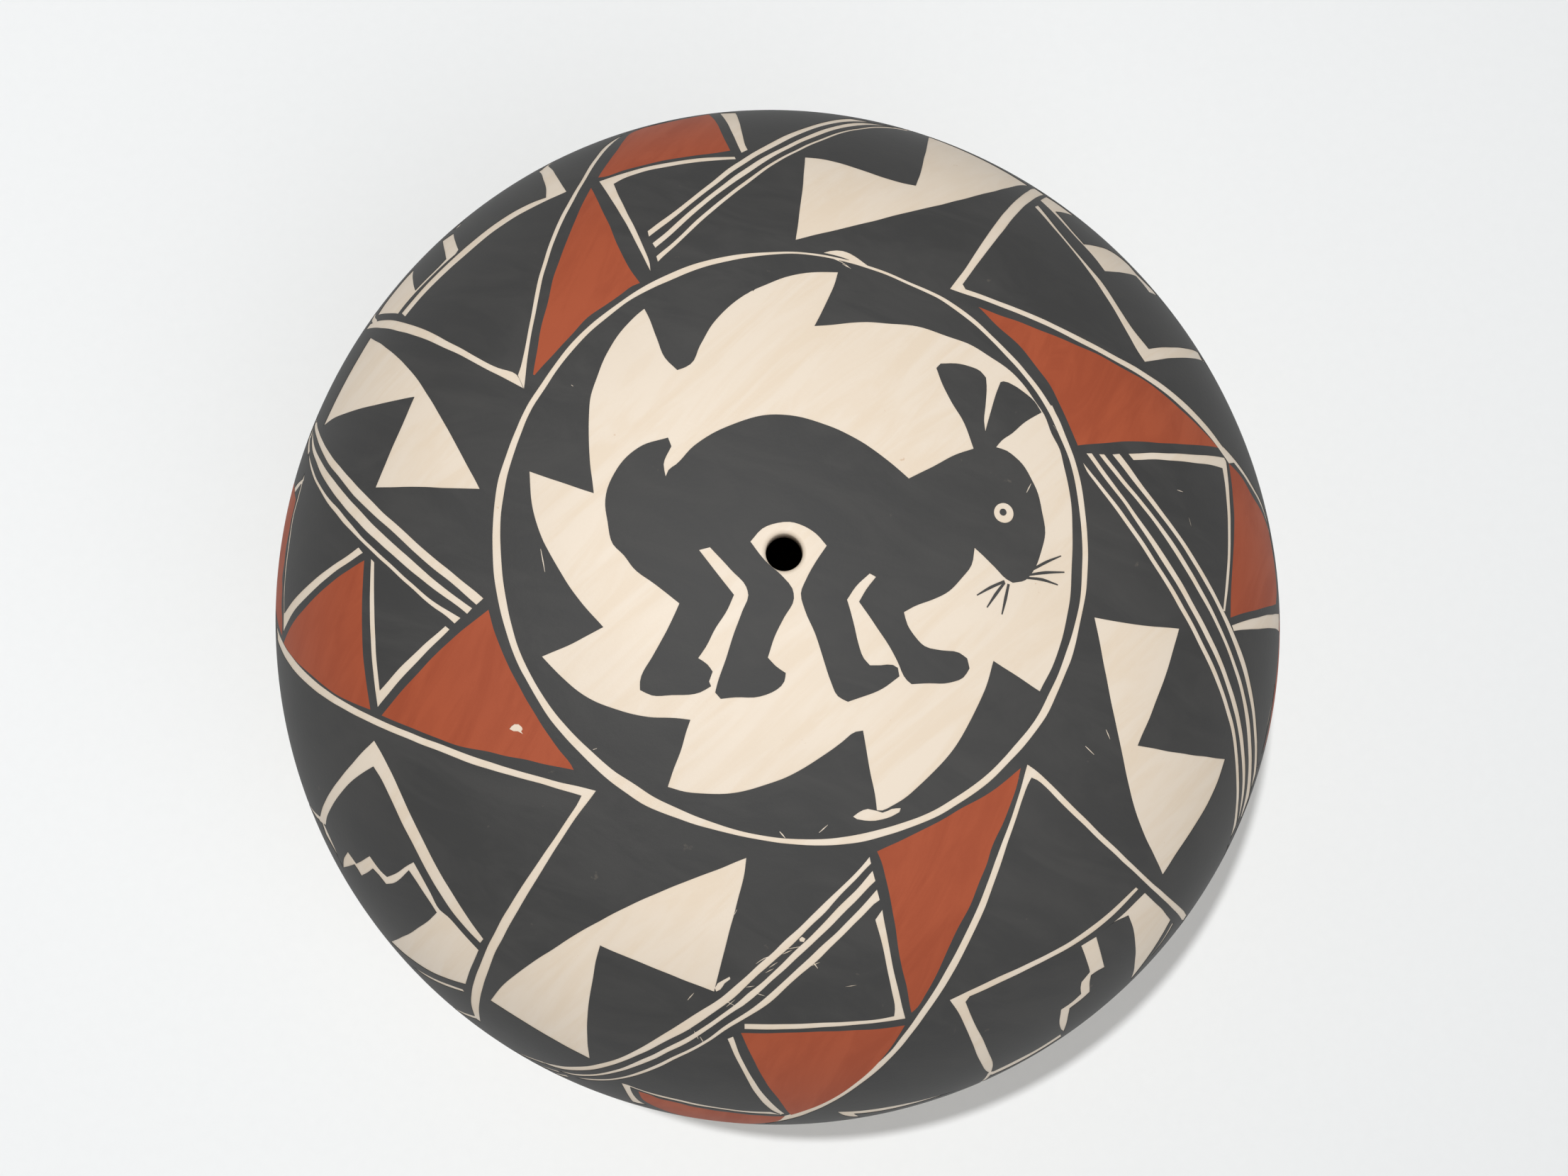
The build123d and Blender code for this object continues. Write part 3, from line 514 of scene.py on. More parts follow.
# The three or four fine bare lines beside each bolt, as far as they are seen
FINE_LINES = {
    "A": [
        [
            (914, 326), (928, 315), (945, 304), (961, 292), (978, 278), (998, 262), (1015, 248),
            (1032, 235), (1048, 224), (1065, 214), (1085, 203), (1104, 193), (1121, 186),
            (1141, 179), (1161, 174), (1180, 169), (1200, 168), (1217, 168), (1236, 170),
            (1253, 173), (1273, 177), (1273, 180), (1253, 176), (1236, 173), (1217, 172),
            (1200, 172), (1180, 174), (1161, 178), (1141, 185), (1121, 193), (1104, 201),
            (1088, 210), (1068, 220), (1048, 233), (1032, 244), (1015, 257), (998, 270),
            (978, 286), (961, 300), (945, 313), (928, 324), (916, 334),
        ],
        [
            (921, 343), (936, 331), (953, 315), (970, 301), (989, 285), (1009, 269), (1029, 254),
            (1048, 240), (1065, 229), (1082, 219), (1102, 209), (1121, 200), (1141, 191),
            (1161, 183), (1180, 178), (1200, 174), (1217, 173), (1236, 174), (1256, 176),
            (1276, 179), (1276, 181), (1256, 179), (1236, 177), (1217, 177), (1200, 179),
            (1180, 183), (1161, 189), (1141, 197), (1121, 206), (1102, 215), (1085, 225),
            (1071, 234), (1054, 246), (1034, 259), (1012, 275), (989, 293), (973, 308),
            (956, 322), (939, 338), (925, 350),
        ],
        [
            (926, 362), (945, 346), (961, 331), (978, 315), (998, 297), (1018, 282), (1037, 266),
            (1054, 254), (1071, 241), (1088, 230), (1104, 220), (1124, 212), (1141, 203),
            (1161, 195), (1180, 188), (1200, 183), (1217, 181), (1236, 179), (1256, 179),
            (1278, 181), (1278, 182), (1256, 181), (1236, 181), (1217, 183), (1200, 185),
            (1180, 191), (1161, 198), (1141, 207), (1124, 215), (1107, 223), (1090, 233),
            (1074, 245), (1057, 258), (1039, 272), (1020, 286), (1001, 303), (981, 320),
            (964, 336), (947, 352), (928, 370),
        ],
    ],
    "B": [
        [
            (1527, 652), (1531, 665), (1544, 679), (1558, 699), (1573, 719), (1587, 737),
            (1602, 759), (1620, 786), (1638, 815), (1656, 845), (1675, 877), (1693, 914),
            (1711, 952), (1725, 988), (1736, 1025), (1741, 1059), (1743, 1095), (1743, 1132),
            (1740, 1165), (1735, 1200), (1737, 1200), (1743, 1165), (1747, 1132), (1747, 1095),
            (1746, 1059), (1741, 1025), (1731, 988), (1717, 950), (1700, 914), (1682, 877),
            (1664, 845), (1645, 815), (1627, 786), (1609, 759), (1595, 737), (1580, 719),
            (1565, 699), (1551, 681), (1538, 666), (1530, 655),
        ],
        [
            (1532, 640), (1544, 655), (1556, 674), (1571, 692), (1587, 712), (1602, 734),
            (1620, 763), (1638, 790), (1656, 819), (1675, 850), (1693, 885), (1711, 921),
            (1727, 957), (1738, 994), (1745, 1026), (1750, 1059), (1752, 1095), (1750, 1132),
            (1746, 1168), (1749, 1168), (1754, 1132), (1756, 1095), (1755, 1059), (1752, 1026),
            (1744, 994), (1733, 955), (1718, 919), (1700, 883), (1682, 848), (1664, 817),
            (1645, 786), (1627, 761), (1609, 734), (1593, 712), (1578, 692), (1564, 674),
            (1551, 655), (1540, 640),
        ],
        [
            (1550, 641), (1560, 654), (1573, 670), (1589, 690), (1605, 708), (1624, 732),
            (1642, 757), (1660, 785), (1678, 814), (1696, 845), (1715, 881), (1731, 917),
            (1744, 954), (1753, 990), (1758, 1026), (1760, 1059), (1760, 1092), (1757, 1125),
            (1752, 1154), (1755, 1150), (1761, 1125), (1765, 1092), (1765, 1059), (1764, 1026),
            (1758, 990), (1749, 954), (1737, 919), (1721, 883), (1704, 848), (1686, 815),
            (1668, 785), (1650, 757), (1632, 734), (1615, 712), (1598, 692), (1582, 672),
            (1569, 655), (1558, 641),
        ],
        [
            (1569, 641), (1580, 655), (1595, 674), (1609, 694), (1624, 712), (1642, 734),
            (1660, 759), (1678, 786), (1696, 817), (1715, 852), (1731, 885), (1745, 921),
            (1756, 957), (1764, 994), (1768, 1030), (1769, 1063), (1768, 1095), (1763, 1128),
            (1765, 1125), (1771, 1092), (1773, 1059), (1772, 1026), (1768, 990), (1762, 954),
            (1751, 917), (1736, 883), (1720, 850), (1703, 817), (1685, 786), (1667, 759),
            (1649, 734), (1631, 710), (1616, 692), (1604, 674), (1591, 655), (1579, 640),
        ],
    ],
    "C": [
        [
            (1227, 1208), (1223, 1213), (1217, 1221), (1206, 1231), (1195, 1243), (1183, 1254),
            (1171, 1266), (1160, 1276), (1149, 1287), (1137, 1299), (1125, 1310), (1113, 1321),
            (1100, 1332), (1091, 1343), (1081, 1351), (1070, 1361), (1058, 1371), (1048, 1381),
            (1037, 1390), (1026, 1399), (1018, 1407), (1007, 1414), (991, 1424), (976, 1432),
            (964, 1441), (951, 1449), (937, 1458), (923, 1467), (909, 1475), (894, 1483),
            (880, 1490), (866, 1495), (851, 1499), (837, 1502), (823, 1504), (809, 1504),
            (794, 1504), (780, 1501), (760, 1496), (780, 1505), (791, 1507), (805, 1510),
            (819, 1510), (834, 1509), (848, 1507), (859, 1504), (873, 1499), (887, 1494),
            (901, 1488), (916, 1482), (930, 1474), (944, 1467), (959, 1459), (973, 1452),
            (987, 1442), (1001, 1432), (1016, 1422), (1028, 1413), (1039, 1404), (1041, 1402),
            (1050, 1394), (1061, 1382), (1070, 1374), (1081, 1366), (1087, 1360), (1097, 1350),
            (1107, 1343), (1116, 1335), (1128, 1322), (1137, 1312), (1149, 1301), (1159, 1292),
            (1166, 1286), (1171, 1279), (1180, 1269), (1189, 1258), (1200, 1247), (1211, 1237),
            (1220, 1226), (1229, 1218),
        ],
        [
            (1231, 1228), (1224, 1236), (1215, 1247), (1206, 1257), (1195, 1267), (1183, 1280),
            (1172, 1291), (1162, 1302), (1151, 1312), (1140, 1325), (1128, 1334), (1119, 1344),
            (1108, 1355), (1097, 1365), (1087, 1375), (1076, 1385), (1064, 1394), (1053, 1401),
            (1048, 1408), (1035, 1417), (1023, 1427), (1010, 1436), (998, 1445), (985, 1453),
            (973, 1461), (960, 1468), (946, 1475), (932, 1482), (918, 1489), (903, 1495),
            (889, 1501), (875, 1507), (860, 1511), (846, 1514), (832, 1515), (819, 1515),
            (807, 1514), (796, 1511), (787, 1509), (796, 1513), (807, 1516), (819, 1518),
            (832, 1518), (846, 1517), (860, 1515), (875, 1511), (889, 1507), (903, 1502),
            (918, 1496), (932, 1490), (944, 1483), (959, 1477), (973, 1469), (985, 1461),
            (998, 1453), (1010, 1444), (1025, 1434), (1037, 1424), (1050, 1417), (1048, 1418),
            (1061, 1409), (1073, 1398), (1085, 1387), (1097, 1377), (1110, 1366), (1122, 1354),
            (1134, 1343), (1146, 1332), (1159, 1319), (1171, 1308), (1183, 1296), (1195, 1284),
            (1206, 1273), (1217, 1261), (1226, 1251), (1235, 1243),
        ],
        [
            (1237, 1255), (1230, 1263), (1221, 1273), (1212, 1283), (1201, 1295), (1191, 1304),
            (1180, 1315), (1168, 1327), (1155, 1338), (1143, 1350), (1131, 1361), (1119, 1372),
            (1107, 1384), (1094, 1395), (1084, 1403), (1073, 1412), (1062, 1421), (1048, 1430),
            (1035, 1438), (1023, 1447), (1010, 1456), (998, 1466), (985, 1473), (973, 1479),
            (959, 1486), (944, 1493), (930, 1499), (916, 1506), (901, 1512), (887, 1516),
            (873, 1520), (859, 1521), (844, 1522), (832, 1521), (821, 1520), (810, 1519),
            (823, 1522), (834, 1524), (846, 1524), (859, 1524), (873, 1522), (887, 1520),
            (901, 1516), (916, 1511), (930, 1505), (944, 1498), (959, 1491), (973, 1484),
            (985, 1478), (998, 1471), (1010, 1462), (1023, 1454), (1035, 1446), (1048, 1438),
            (1070, 1425), (1081, 1418), (1091, 1410), (1103, 1400), (1116, 1387), (1128, 1377),
            (1137, 1369), (1146, 1361), (1159, 1351), (1171, 1338), (1183, 1325), (1195, 1314),
            (1206, 1303), (1217, 1292), (1226, 1283), (1232, 1275), (1241, 1270),
        ],
    ],
    "D": [
        [
            (444, 593), (448, 600), (451, 611), (457, 624), (464, 637), (475, 653), (488, 667),
            (503, 684), (518, 700), (532, 715), (547, 729), (566, 745), (584, 763), (603, 778),
            (621, 794), (643, 812), (662, 827), (673, 836), (682, 844), (672, 853), (663, 845),
            (655, 839), (649, 831), (636, 821), (618, 807), (599, 792), (584, 778), (569, 764),
            (551, 747), (532, 731), (520, 720), (510, 711), (501, 701), (490, 688), (481, 676),
            (471, 664), (462, 652), (455, 637), (449, 624), (446, 613), (444, 600),
        ],
        [
            (441, 600), (442, 624), (447, 639), (457, 655), (464, 668), (475, 683), (486, 696),
            (497, 709), (507, 720), (518, 731), (529, 743), (544, 757), (558, 770), (573, 782),
            (588, 796), (606, 813), (625, 827), (643, 842), (656, 851), (666, 858), (659, 866),
            (651, 859), (640, 851), (625, 840), (606, 827), (588, 812), (569, 797), (551, 780),
            (536, 767), (521, 753), (507, 739), (495, 726), (484, 715), (477, 705), (468, 692),
            (458, 678), (451, 663), (445, 648), (441, 637), (439, 624),
        ],
        [
            (436, 637), (439, 654), (444, 668), (451, 683), (458, 695), (468, 707), (477, 718),
            (488, 730), (497, 741), (507, 753), (518, 765), (529, 775), (540, 785), (551, 796),
            (566, 809), (581, 823), (595, 835), (610, 848), (625, 857), (636, 864), (650, 872),
            (642, 880), (632, 871), (625, 865), (614, 859), (603, 850), (588, 836), (573, 823),
            (558, 809), (544, 796), (532, 785), (521, 775), (514, 767), (503, 757), (494, 747),
            (484, 737), (473, 724), (462, 709), (453, 694), (446, 681), (440, 668), (436, 654),
        ],
    ],
}

# Lines that run on over the edge of what is seen
RUNNING_LINES = {
    "A": [
        [(898, 177), Wall(101, 107), Wall(96, 110.5), Wall(91.5, 115), Wall(81, 127), Wall(72, 140)],
        [(530, 456), Wall(146, 109), Wall(144, 115), Wall(141, 124), Wall(137, 140)],
        [(766, 240), Wall(118, 108), Wall(115, 114), Wall(113, 125), Wall(112, 140)],
        [(1269, 179), Wall(70, 112), Wall(61, 126), Wall(52, 140)],
        [(1272, 180), Wall(72, 112), Wall(64, 126), Wall(55, 140)],
        [(1275, 181), Wall(74, 111), Wall(67, 126), Wall(58, 140)],
    ],
    "B": [
        [
            (1725, 633), (1736, 645), (1751, 664), (1765, 686), (1778, 710), (1787, 736),
            (1793, 761), Wall(94, 112), Wall(91, 115.5), Wall(81, 127), Wall(72, 140),
        ],
        [(1468, 268), Wall(146, 109), Wall(144, 115), Wall(141, 124), Wall(137, 140)],
        [(1700, 501), Wall(117.5, 110), Wall(115, 115), Wall(113, 125), Wall(112, 140)],
        [(1737, 1193), Wall(56.5, 124), Wall(48, 140)],
        [(1748, 1165), Wall(59, 124), Wall(51, 140)],
        [(1755, 1148), Wall(61, 124), Wall(53.5, 140)],
        [(1764, 1127), Wall(63, 124), Wall(56, 140)],
    ],
    "C": [
        [(1086, 1581), Wall(86, 121), Wall(81, 127), Wall(72, 140)],
        [(1672, 1295), Wall(139.5, 124), Wall(137, 140)],
        [(1397, 1512), Wall(113, 121), Wall(112, 140)],
        [(768, 1499), Wall(59, 124), Wall(50, 140)],
        [(790, 1512), Wall(62, 124), Wall(53, 140)],
        [(802, 1518), Wall(64.5, 124), Wall(56, 140)],
    ],
    "D": [
        [(389, 892), Wall(91.5, 115.5), Wall(88, 119), Wall(81, 127), Wall(72, 140)],
        [(674, 1436), Wall(143, 119), Wall(141, 126), Wall(137, 140)],
        [(456, 1158), Wall(116, 114), Wall(113, 125), Wall(112, 140)],
        [(444, 598), Wall(66, 118), Wall(60, 127), Wall(52, 140)],
        [(439, 617), Wall(68.5, 117), Wall(63, 126), Wall(55, 140)],
        [(436, 640), Wall(70.5, 115), Wall(66, 125), Wall(58, 140)],
    ],
}

# Thinner lines beside the lower orange triangles and beyond a field
THIN_LINES = {
    "A": [],
    "B": [[(1797, 965), (1795, 985), (1790, 1010), (1785, 1037), (1779, 1063)]],
    "C": [[(1654, 1302), (1640, 1326), (1624, 1347)]],
    "D": [
        [
            (427, 680), (421, 702), (415, 724), (411, 746), (407, 774), (404, 798), (402, 822),
            (401, 839), (401, 857), (401, 872),
        ],
    ],
}

INNER_ORANGE = {
    "A": [
        (834, 266), (853, 304), (871, 344), (889, 380), (903, 400), (893, 404), (877, 415),
        (853, 431), (829, 448), (805, 475), (786, 495), (767, 515), (754, 530), (752, 529),
        (755, 511), (758, 494), (762, 470), (766, 451), (773, 427), (782, 389), (795, 353),
        (809, 318), (822, 288),
    ],
    "B": [
        (1380, 434), (1410, 445), (1437, 454), (1473, 469), (1509, 483), (1549, 501),
        (1589, 523), (1616, 538), (1656, 570), (1687, 599), (1718, 632), (1687, 628),
        (1638, 625), (1593, 623), (1553, 626), (1520, 629), (1509, 603), (1495, 572),
        (1482, 545), (1459, 514), (1437, 487), (1410, 463),
    ],
    "C": [
        (1237, 1201), (1272, 1185), (1312, 1165), (1357, 1140), (1401, 1115), (1440, 1083),
        (1433, 1112), (1417, 1156), (1397, 1200), (1393, 1215), (1381, 1244), (1368, 1277),
        (1354, 1303), (1339, 1334), (1324, 1368), (1307, 1399), (1291, 1424), (1286, 1428),
        (1284, 1418), (1278, 1389), (1268, 1345), (1261, 1296), (1249, 1238), (1243, 1215),
    ],
    "D": [
        (689, 860), (696, 886), (704, 907), (717, 938), (728, 960), (743, 988), (757, 1010),
        (774, 1036), (791, 1060), (806, 1079), (810, 1086), (794, 1083), (769, 1078),
        (743, 1072), (718, 1067), (690, 1060), (648, 1052), (594, 1032), (539, 1009), (581, 959),
        (630, 909),
    ],
}
OUTER_ORANGE = {
    "A": [
        (844, 251), (858, 230), (871, 213), (880, 200), (894, 187), (908, 177), (925, 170),
        (950, 163), (975, 158), (998, 154), (1012, 176), (1023, 199), (1030, 213), (1006, 217),
        (975, 221), (936, 227), (908, 234), (880, 241), (853, 250),
    ],
    "B": [
        (1733, 654), (1751, 674), (1765, 699), (1780, 725), (1789, 750), (1795, 775),
        (1799, 801), (1800, 834), (1799, 852), (1784, 857), (1762, 863), (1735, 871),
        (1736, 834), (1738, 794), (1740, 757), (1740, 721), (1737, 685),
    ],
    "C": [
        (1080, 1457), (1147, 1455), (1205, 1453), (1250, 1450), (1276, 1446), (1259, 1473),
        (1236, 1502), (1214, 1522), (1183, 1544), (1147, 1562), (1116, 1572), (1098, 1549),
        (1080, 1526), (1062, 1491), (1045, 1457),
    ],
    "D": [
        (514, 791), (511, 849), (513, 925), (523, 1001), (479, 982), (440, 952), (410, 922),
        (401, 907), (410, 886), (430, 859), (463, 826),
    ],
}
LOWER_ORANGE = {
    "A": [Wall(91, 110.5), Wall(83, 109), Wall(75, 109), Wall(79.5, 123), Wall(84, 131), Wall(87.5, 121)],
    "B": [
        (1795, 1000), (1789, 1028), (1782, 1060), Wall(74, 116), Wall(79.5, 124), Wall(84, 131),
        Wall(87.5, 123), Wall(89, 115), Wall(83, 112.5),
    ],
    "C": [
        (901, 1539), (915, 1543), (930, 1549), (943, 1552), (960, 1556), (976, 1560), (993, 1563),
        (1009, 1566), (1026, 1568), (1042, 1570), (1059, 1572), (1076, 1573), (1092, 1574),
        (1107, 1574), Wall(90, 116), Wall(87.5, 122), Wall(84, 131), Wall(80, 124), Wall(76, 116),
        (908, 1551),
    ],
    "D": [
        (418, 705), (415, 719), (412, 731), (408, 753), (404, 774), (402, 793), (399, 815),
        (399, 831), (398, 857), (399, 874), (399, 897), Wall(92.5, 114), Wall(88.5, 122),
        Wall(84, 131), Wall(79.5, 123), Wall(77, 114),
    ],
}

# Places where the paint has come off, and the worn flakes on the ring line
CHIPS = [
    [
        (719, 1029), (722, 1025), (726, 1022), (732, 1022), (737, 1026), (738, 1029), (736, 1032),
        (739, 1036), (731, 1032), (725, 1032),
    ],
    [
        (1203, 1152), (1211, 1146), (1224, 1141), (1235, 1143), (1245, 1146), (1258, 1141),
        (1271, 1140), (1269, 1146), (1258, 1152), (1245, 1156), (1235, 1158), (1220, 1158),
        (1209, 1156),
    ],
    [
        (1161, 357), (1172, 354), (1188, 354), (1199, 358), (1212, 366), (1226, 376), (1216, 376),
        (1204, 370), (1190, 364), (1176, 360),
    ],
    [
        (1008, 1394), (1012, 1387), (1020, 1382), (1029, 1377), (1030, 1381), (1022, 1387),
        (1016, 1396), (1010, 1399),
    ],
    [(1127, 1324), (1131, 1321), (1136, 1324), (1134, 1329), (1128, 1328)],
    [(1479, 573), (1484, 572), (1496, 598), (1492, 602)],
]
# Fine scratches, each through two or three places
SCRATCHES = [
    [(1486, 600), (1491, 607)],
    [(763, 775), (769, 807)],
    [(970, 1411), (979, 1400)],
    [(1036, 1290), (1040, 1283)],
    [(1066, 1360), (1078, 1352), (1090, 1347)],
    [(1085, 1365), (1097, 1357)],
    [(1080, 1372), (1092, 1366)],
    [(1110, 1339), (1130, 1335)],
    [(1104, 1346), (1118, 1340)],
    [(1052, 1392), (1065, 1390)],
    [(1065, 1400), (1080, 1405)],
    [(1022, 1411), (1040, 1420)],
    [(1024, 1420), (1037, 1409)],
    [(1145, 1362), (1157, 1357)],
    [(1146, 1356), (1154, 1366)],
    [(971, 1447), (975, 1453)],
    [(979, 1454), (985, 1466)],
    [(987, 1462), (993, 1472)],
    [(1192, 1392), (1210, 1389)],
    [(1162, 1286), (1170, 1281)],
    [(1155, 1175), (1168, 1164)],
    [(1100, 1173), (1108, 1182)],
    [(1448, 695), (1455, 682)],
    [(1660, 691), (1669, 694)],
    [(1676, 727), (1681, 745)],
    [(1560, 1029), (1566, 1043)],
    [(1531, 1053), (1544, 1065)],
    [(836, 1058), (842, 1056)],
    [(806, 543), (809, 545)],
    [(1170, 363), (1186, 369), (1197, 376)],
    [(1188, 372), (1201, 379)],
]
# Blots of black at the bare medallion's edge
BLOTS = [
    [(1046, 412), (1049, 404), (1055, 402), (1059, 406), (1056, 413), (1050, 416)],
    [(1060, 408), (1062, 406), (1064, 409), (1062, 411)],
]

# Spacing of the points on the wall and the chart, in millimetres, and points round the jar
CHART_STEP = 2.0
OUTLINE_STEP = 0.9
SLIP_STEP = 1.6
SLIP_BACK_STEP = 4 * SLIP_STEP
WALL_TURNS = 360
COIL_TURNS = 180
FEWEST_CHART_PLACES = 8

# Least lengths in millimetres: between points, of a span, and the reach where a normal is taken
WELD_LENGTH = 1e-4
LEAST_LENGTH = 1e-6
NORMAL_LEAST_REACH = 1.0

# The painter's hand: sharp corners, the waver and the press of the brush, and its small touches
CORNER_DEGREES = 38.0
WOBBLE_SEED = 1
WOBBLE_SCALE = 0.22
WOBBLE_SLICE = 3.7
BAND_END_WOBBLE = 0.5
PRESSURE_SHARE = 0.16
PRESSURE_SCALE = 0.35
PRESSURE_SLICE = 8.1
TAPER_WIDTHS = 14
TOUCH_SIDES = 28
EYE_RADIUS = 1.75
PUPIL_RADIUS = 0.6

# A stroke's width, and the shares of it that are left at its start and its end
Stroke = namedtuple("Stroke", "width start end")
RUNNING_STROKE = Stroke(1.4, 0.9, 0.9)
THIN_STROKE = Stroke(1.1, 0.9, 0.7)
WHISKER_STROKE = Stroke(0.5, 0.8, 0.4)
SCRATCH_STROKE = Stroke(0.22, 0.5, 0.4)

# The clay: rows of points in its sections, soft edges, and the swell and dimples of the coils
CENTRE_RADIUS = 0.2
FLOOR_SHARES = (0.3, 0.6, 0.85, 0.97)
BASE_INSIDE_ROWS = 8
BASE_OUTSIDE_ROWS = 12
PUSH_UP_ROWS = 8
COIL_INSIDE_ROWS = 6
CLAY_LIP_ROWS = 6
SLIP_LIP_ROWS = 9
FOOT_EDGE_SOFTNESS = 0.4
COIL_SWELL = 0.5
COIL_DIMPLE = 0.35
DIMPLES_ROUND = 9.0
DIMPLES_ALONG = 0.08


def photo_axes():
    """The photograph's right, up and back directions in the jar's frame."""
    lean_x = radians(CAMERA_LEAN_X)
    lean_y = radians(CAMERA_LEAN_Y)
    back = Vector((-sin(lean_x) * cos(lean_y), -sin(lean_y), cos(lean_x) * cos(lean_y)))
    up = (Vector((0, 1, 0)) - back * back.y).normalized()
    return up.cross(back), up, back


def chart_point(turn_degrees, reach):
    """A turn in degrees and a reach, as a point of the flat chart."""
    turn = radians(turn_degrees)
    return Vector((reach * cos(turn), reach * sin(turn)))


def ring_faces(rows, turns, spans):
    """Four-sided faces from each ring of points to the next. As many spans as rows close up."""
    faces = []
    for row in range(spans):
        near = row * turns
        far = (row + 1) % rows * turns
        for column in range(turns):
            beside = (column + 1) % turns
            faces.append((near + column, far + column, far + beside, near + beside))
    return faces


class PhotoSight:
    """Finds the chart point that a pixel of the photograph shows."""

    def __init__(self):
        self.right, self.up, self.back = photo_axes()
        self.place = Vector(CAMERA_PLACE) * MM
        spans = int(BAND_END / CHART_STEP)
        corners = []
        for row in range(spans + 1):
            for column in range(WALL_TURNS):
                corners.append(on_wall(2 * pi * column / WALL_TURNS, row * CHART_STEP, 0))
        self.tree = BVHTree.FromPolygons(corners, ring_faces(spans + 1, WALL_TURNS, spans))

    def hit(self, x, y):
        """The place on the wall under a pixel, or none past the edge of sight."""
        ray = self.right * (x - PHOTO_WIDTH / 2) + self.up * (PHOTO_HEIGHT / 2 - y)
        ray = (ray / FOCAL_PIXELS - self.back).normalized()
        place, normal = self.tree.ray_cast(self.place, ray)[:2]
        if place is None or abs(normal.dot(ray)) < GRAZING_SHARE:
            return None
        return place

    def chart(self, x, y):
        """The chart point under a pixel. A pixel on the very edge is drawn in to a clear one."""
        share = 1.0
        place = None
        while place is None:
            seen_x = SILHOUETTE_CENTRE[0] + (x - SILHOUETTE_CENTRE[0]) * share
            seen_y = SILHOUETTE_CENTRE[1] + (y - SILHOUETTE_CENTRE[1]) * share
            place = self.hit(seen_x, seen_y)
            share -= DRAW_IN_STEP
        turn = atan2(place.y, place.x)
        radius = hypot(place.x, place.y) / (round_share(turn) * MM)
        return chart_point(degrees(turn), wall_reach(radius, place.z / MM))


def charted(sight, points, sector):
    """An outline's points on the chart, from pixels and unseen wall points."""
    placed = []
    for point in points:
        if isinstance(point, Wall):
            placed.append(chart_point(point.turn + SECTOR_TURNS[sector], point.reach))
        else:
            placed.append(sight.chart(*point))
    return placed


def hand_wobble(point, amount):
    """A brush never follows a line exactly: a point pushed a little aside."""
    push = noise.noise_vector(Vector((point.x * WOBBLE_SCALE, point.y * WOBBLE_SCALE, WOBBLE_SLICE)))
    return Vector((point.x + amount * push.x, point.y + amount * push.y))


def eased(points):
    """A closed outline's points drawn in towards their neighbours, except at sharp corners."""
    placed = []
    for index, point in enumerate(points):
        behind = points[index - 1]
        ahead = points[(index + 1) % len(points)]
        bend = (point - behind).angle(ahead - point, 0)
        placed.append(point if bend > radians(CORNER_DEGREES) else (behind + 2 * point + ahead) / 4)
    return placed


def flowing(points, closed, wobble):
    """A line drawn smoothly through points, with its sharp corners kept."""
    count = len(points)
    spans = count if closed else count - 1
    lengths = [max((points[(i + 1) % count] - points[i]).length, LEAST_LENGTH) for i in range(spans)]

    def slope(index, leaving):
        first = index == 0 and not closed
        last = index == count - 1 and not closed
        ahead = None if last else (points[(index + 1) % count] - points[index]) / lengths[index % spans]
        behind = None if first else (points[index] - points[index - 1]) / lengths[index - 1]
        if ahead is None or behind is None:
            return ahead if behind is None else behind
        if ahead.angle(behind, 0) > radians(CORNER_DEGREES):
            return ahead if leaving else behind
        near = lengths[index - 1]
        far = lengths[index % spans]
        return (behind * far + ahead * near) / (near + far)

    line = []
    for index in range(spans):
        start = points[index]
        end = points[(index + 1) % count]
        leave = slope(index, True) * lengths[index]
        arrive = slope((index + 1) % count, False) * lengths[index]
        steps = max(1, int(lengths[index] / OUTLINE_STEP + 0.5))
        for step in range(steps):
            t = step / steps
            a = 2 * t**3 - 3 * t**2 + 1
            b = t**3 - 2 * t**2 + t
            c = t**3 - t**2
            line.append(hand_wobble(a * start + b * leave + (1 - a) * end + c * arrive, wobble))
    if not closed:
        line.append(hand_wobble(points[-1], wobble))
    return line


def stroke_outline(points, stroke, wobble):
    """The outline of a stroke along points, thinner towards its ends."""
    middle = flowing(points, False, wobble)
    runs = [0.0]
    for near, far in zip(middle, middle[1:]):
        runs.append(runs[-1] + (far - near).length)
    total = runs[-1]
    fade = min(total / 2, stroke.width * TAPER_WIDTHS)
    left = []
    right = []
    for index, place in enumerate(middle):
        ahead = middle[min(index + 1, len(middle) - 1)]
        behind = middle[max(index - 1, 0)]
        along = (ahead - behind).normalized()
        side = Vector((-along.y, along.x))
        share = stroke.start + (1 - stroke.start) * min(1.0, runs[index] / fade)
        share *= stroke.end + (1 - stroke.end) * min(1.0, (total - runs[index]) / fade)
        press_place = Vector((place.x * PRESSURE_SCALE, place.y * PRESSURE_SCALE, PRESSURE_SLICE))
        pressed = 1 + PRESSURE_SHARE * noise.noise(press_place)
        half = stroke.width * share * pressed / 2
        left.append(place + side * half)
        right.append(place - side * half)
    return left + right[::-1]


def inside(outline, xs, ys):
    """Which of many points lie inside a closed outline."""
    hits = np.zeros(len(xs), dtype=bool)
    low = np.min(outline, axis=0)
    high = np.max(outline, axis=0)
    near = (xs > low[0]) & (xs < high[0]) & (ys > low[1]) & (ys < high[1])
    px = xs[near]
    py = ys[near]
    found = np.zeros(len(px), dtype=bool)
    x1, y1 = outline[-1]
    for x2, y2 in outline:
        if y1 != y2:
            cross = (y1 > py) != (y2 > py)
            at = x1 + (py - y1) * (x2 - x1) / (y2 - y1)
            found ^= cross & (px < at)
        x1, y1 = x2, y2
    hits[near] = found
    return hits


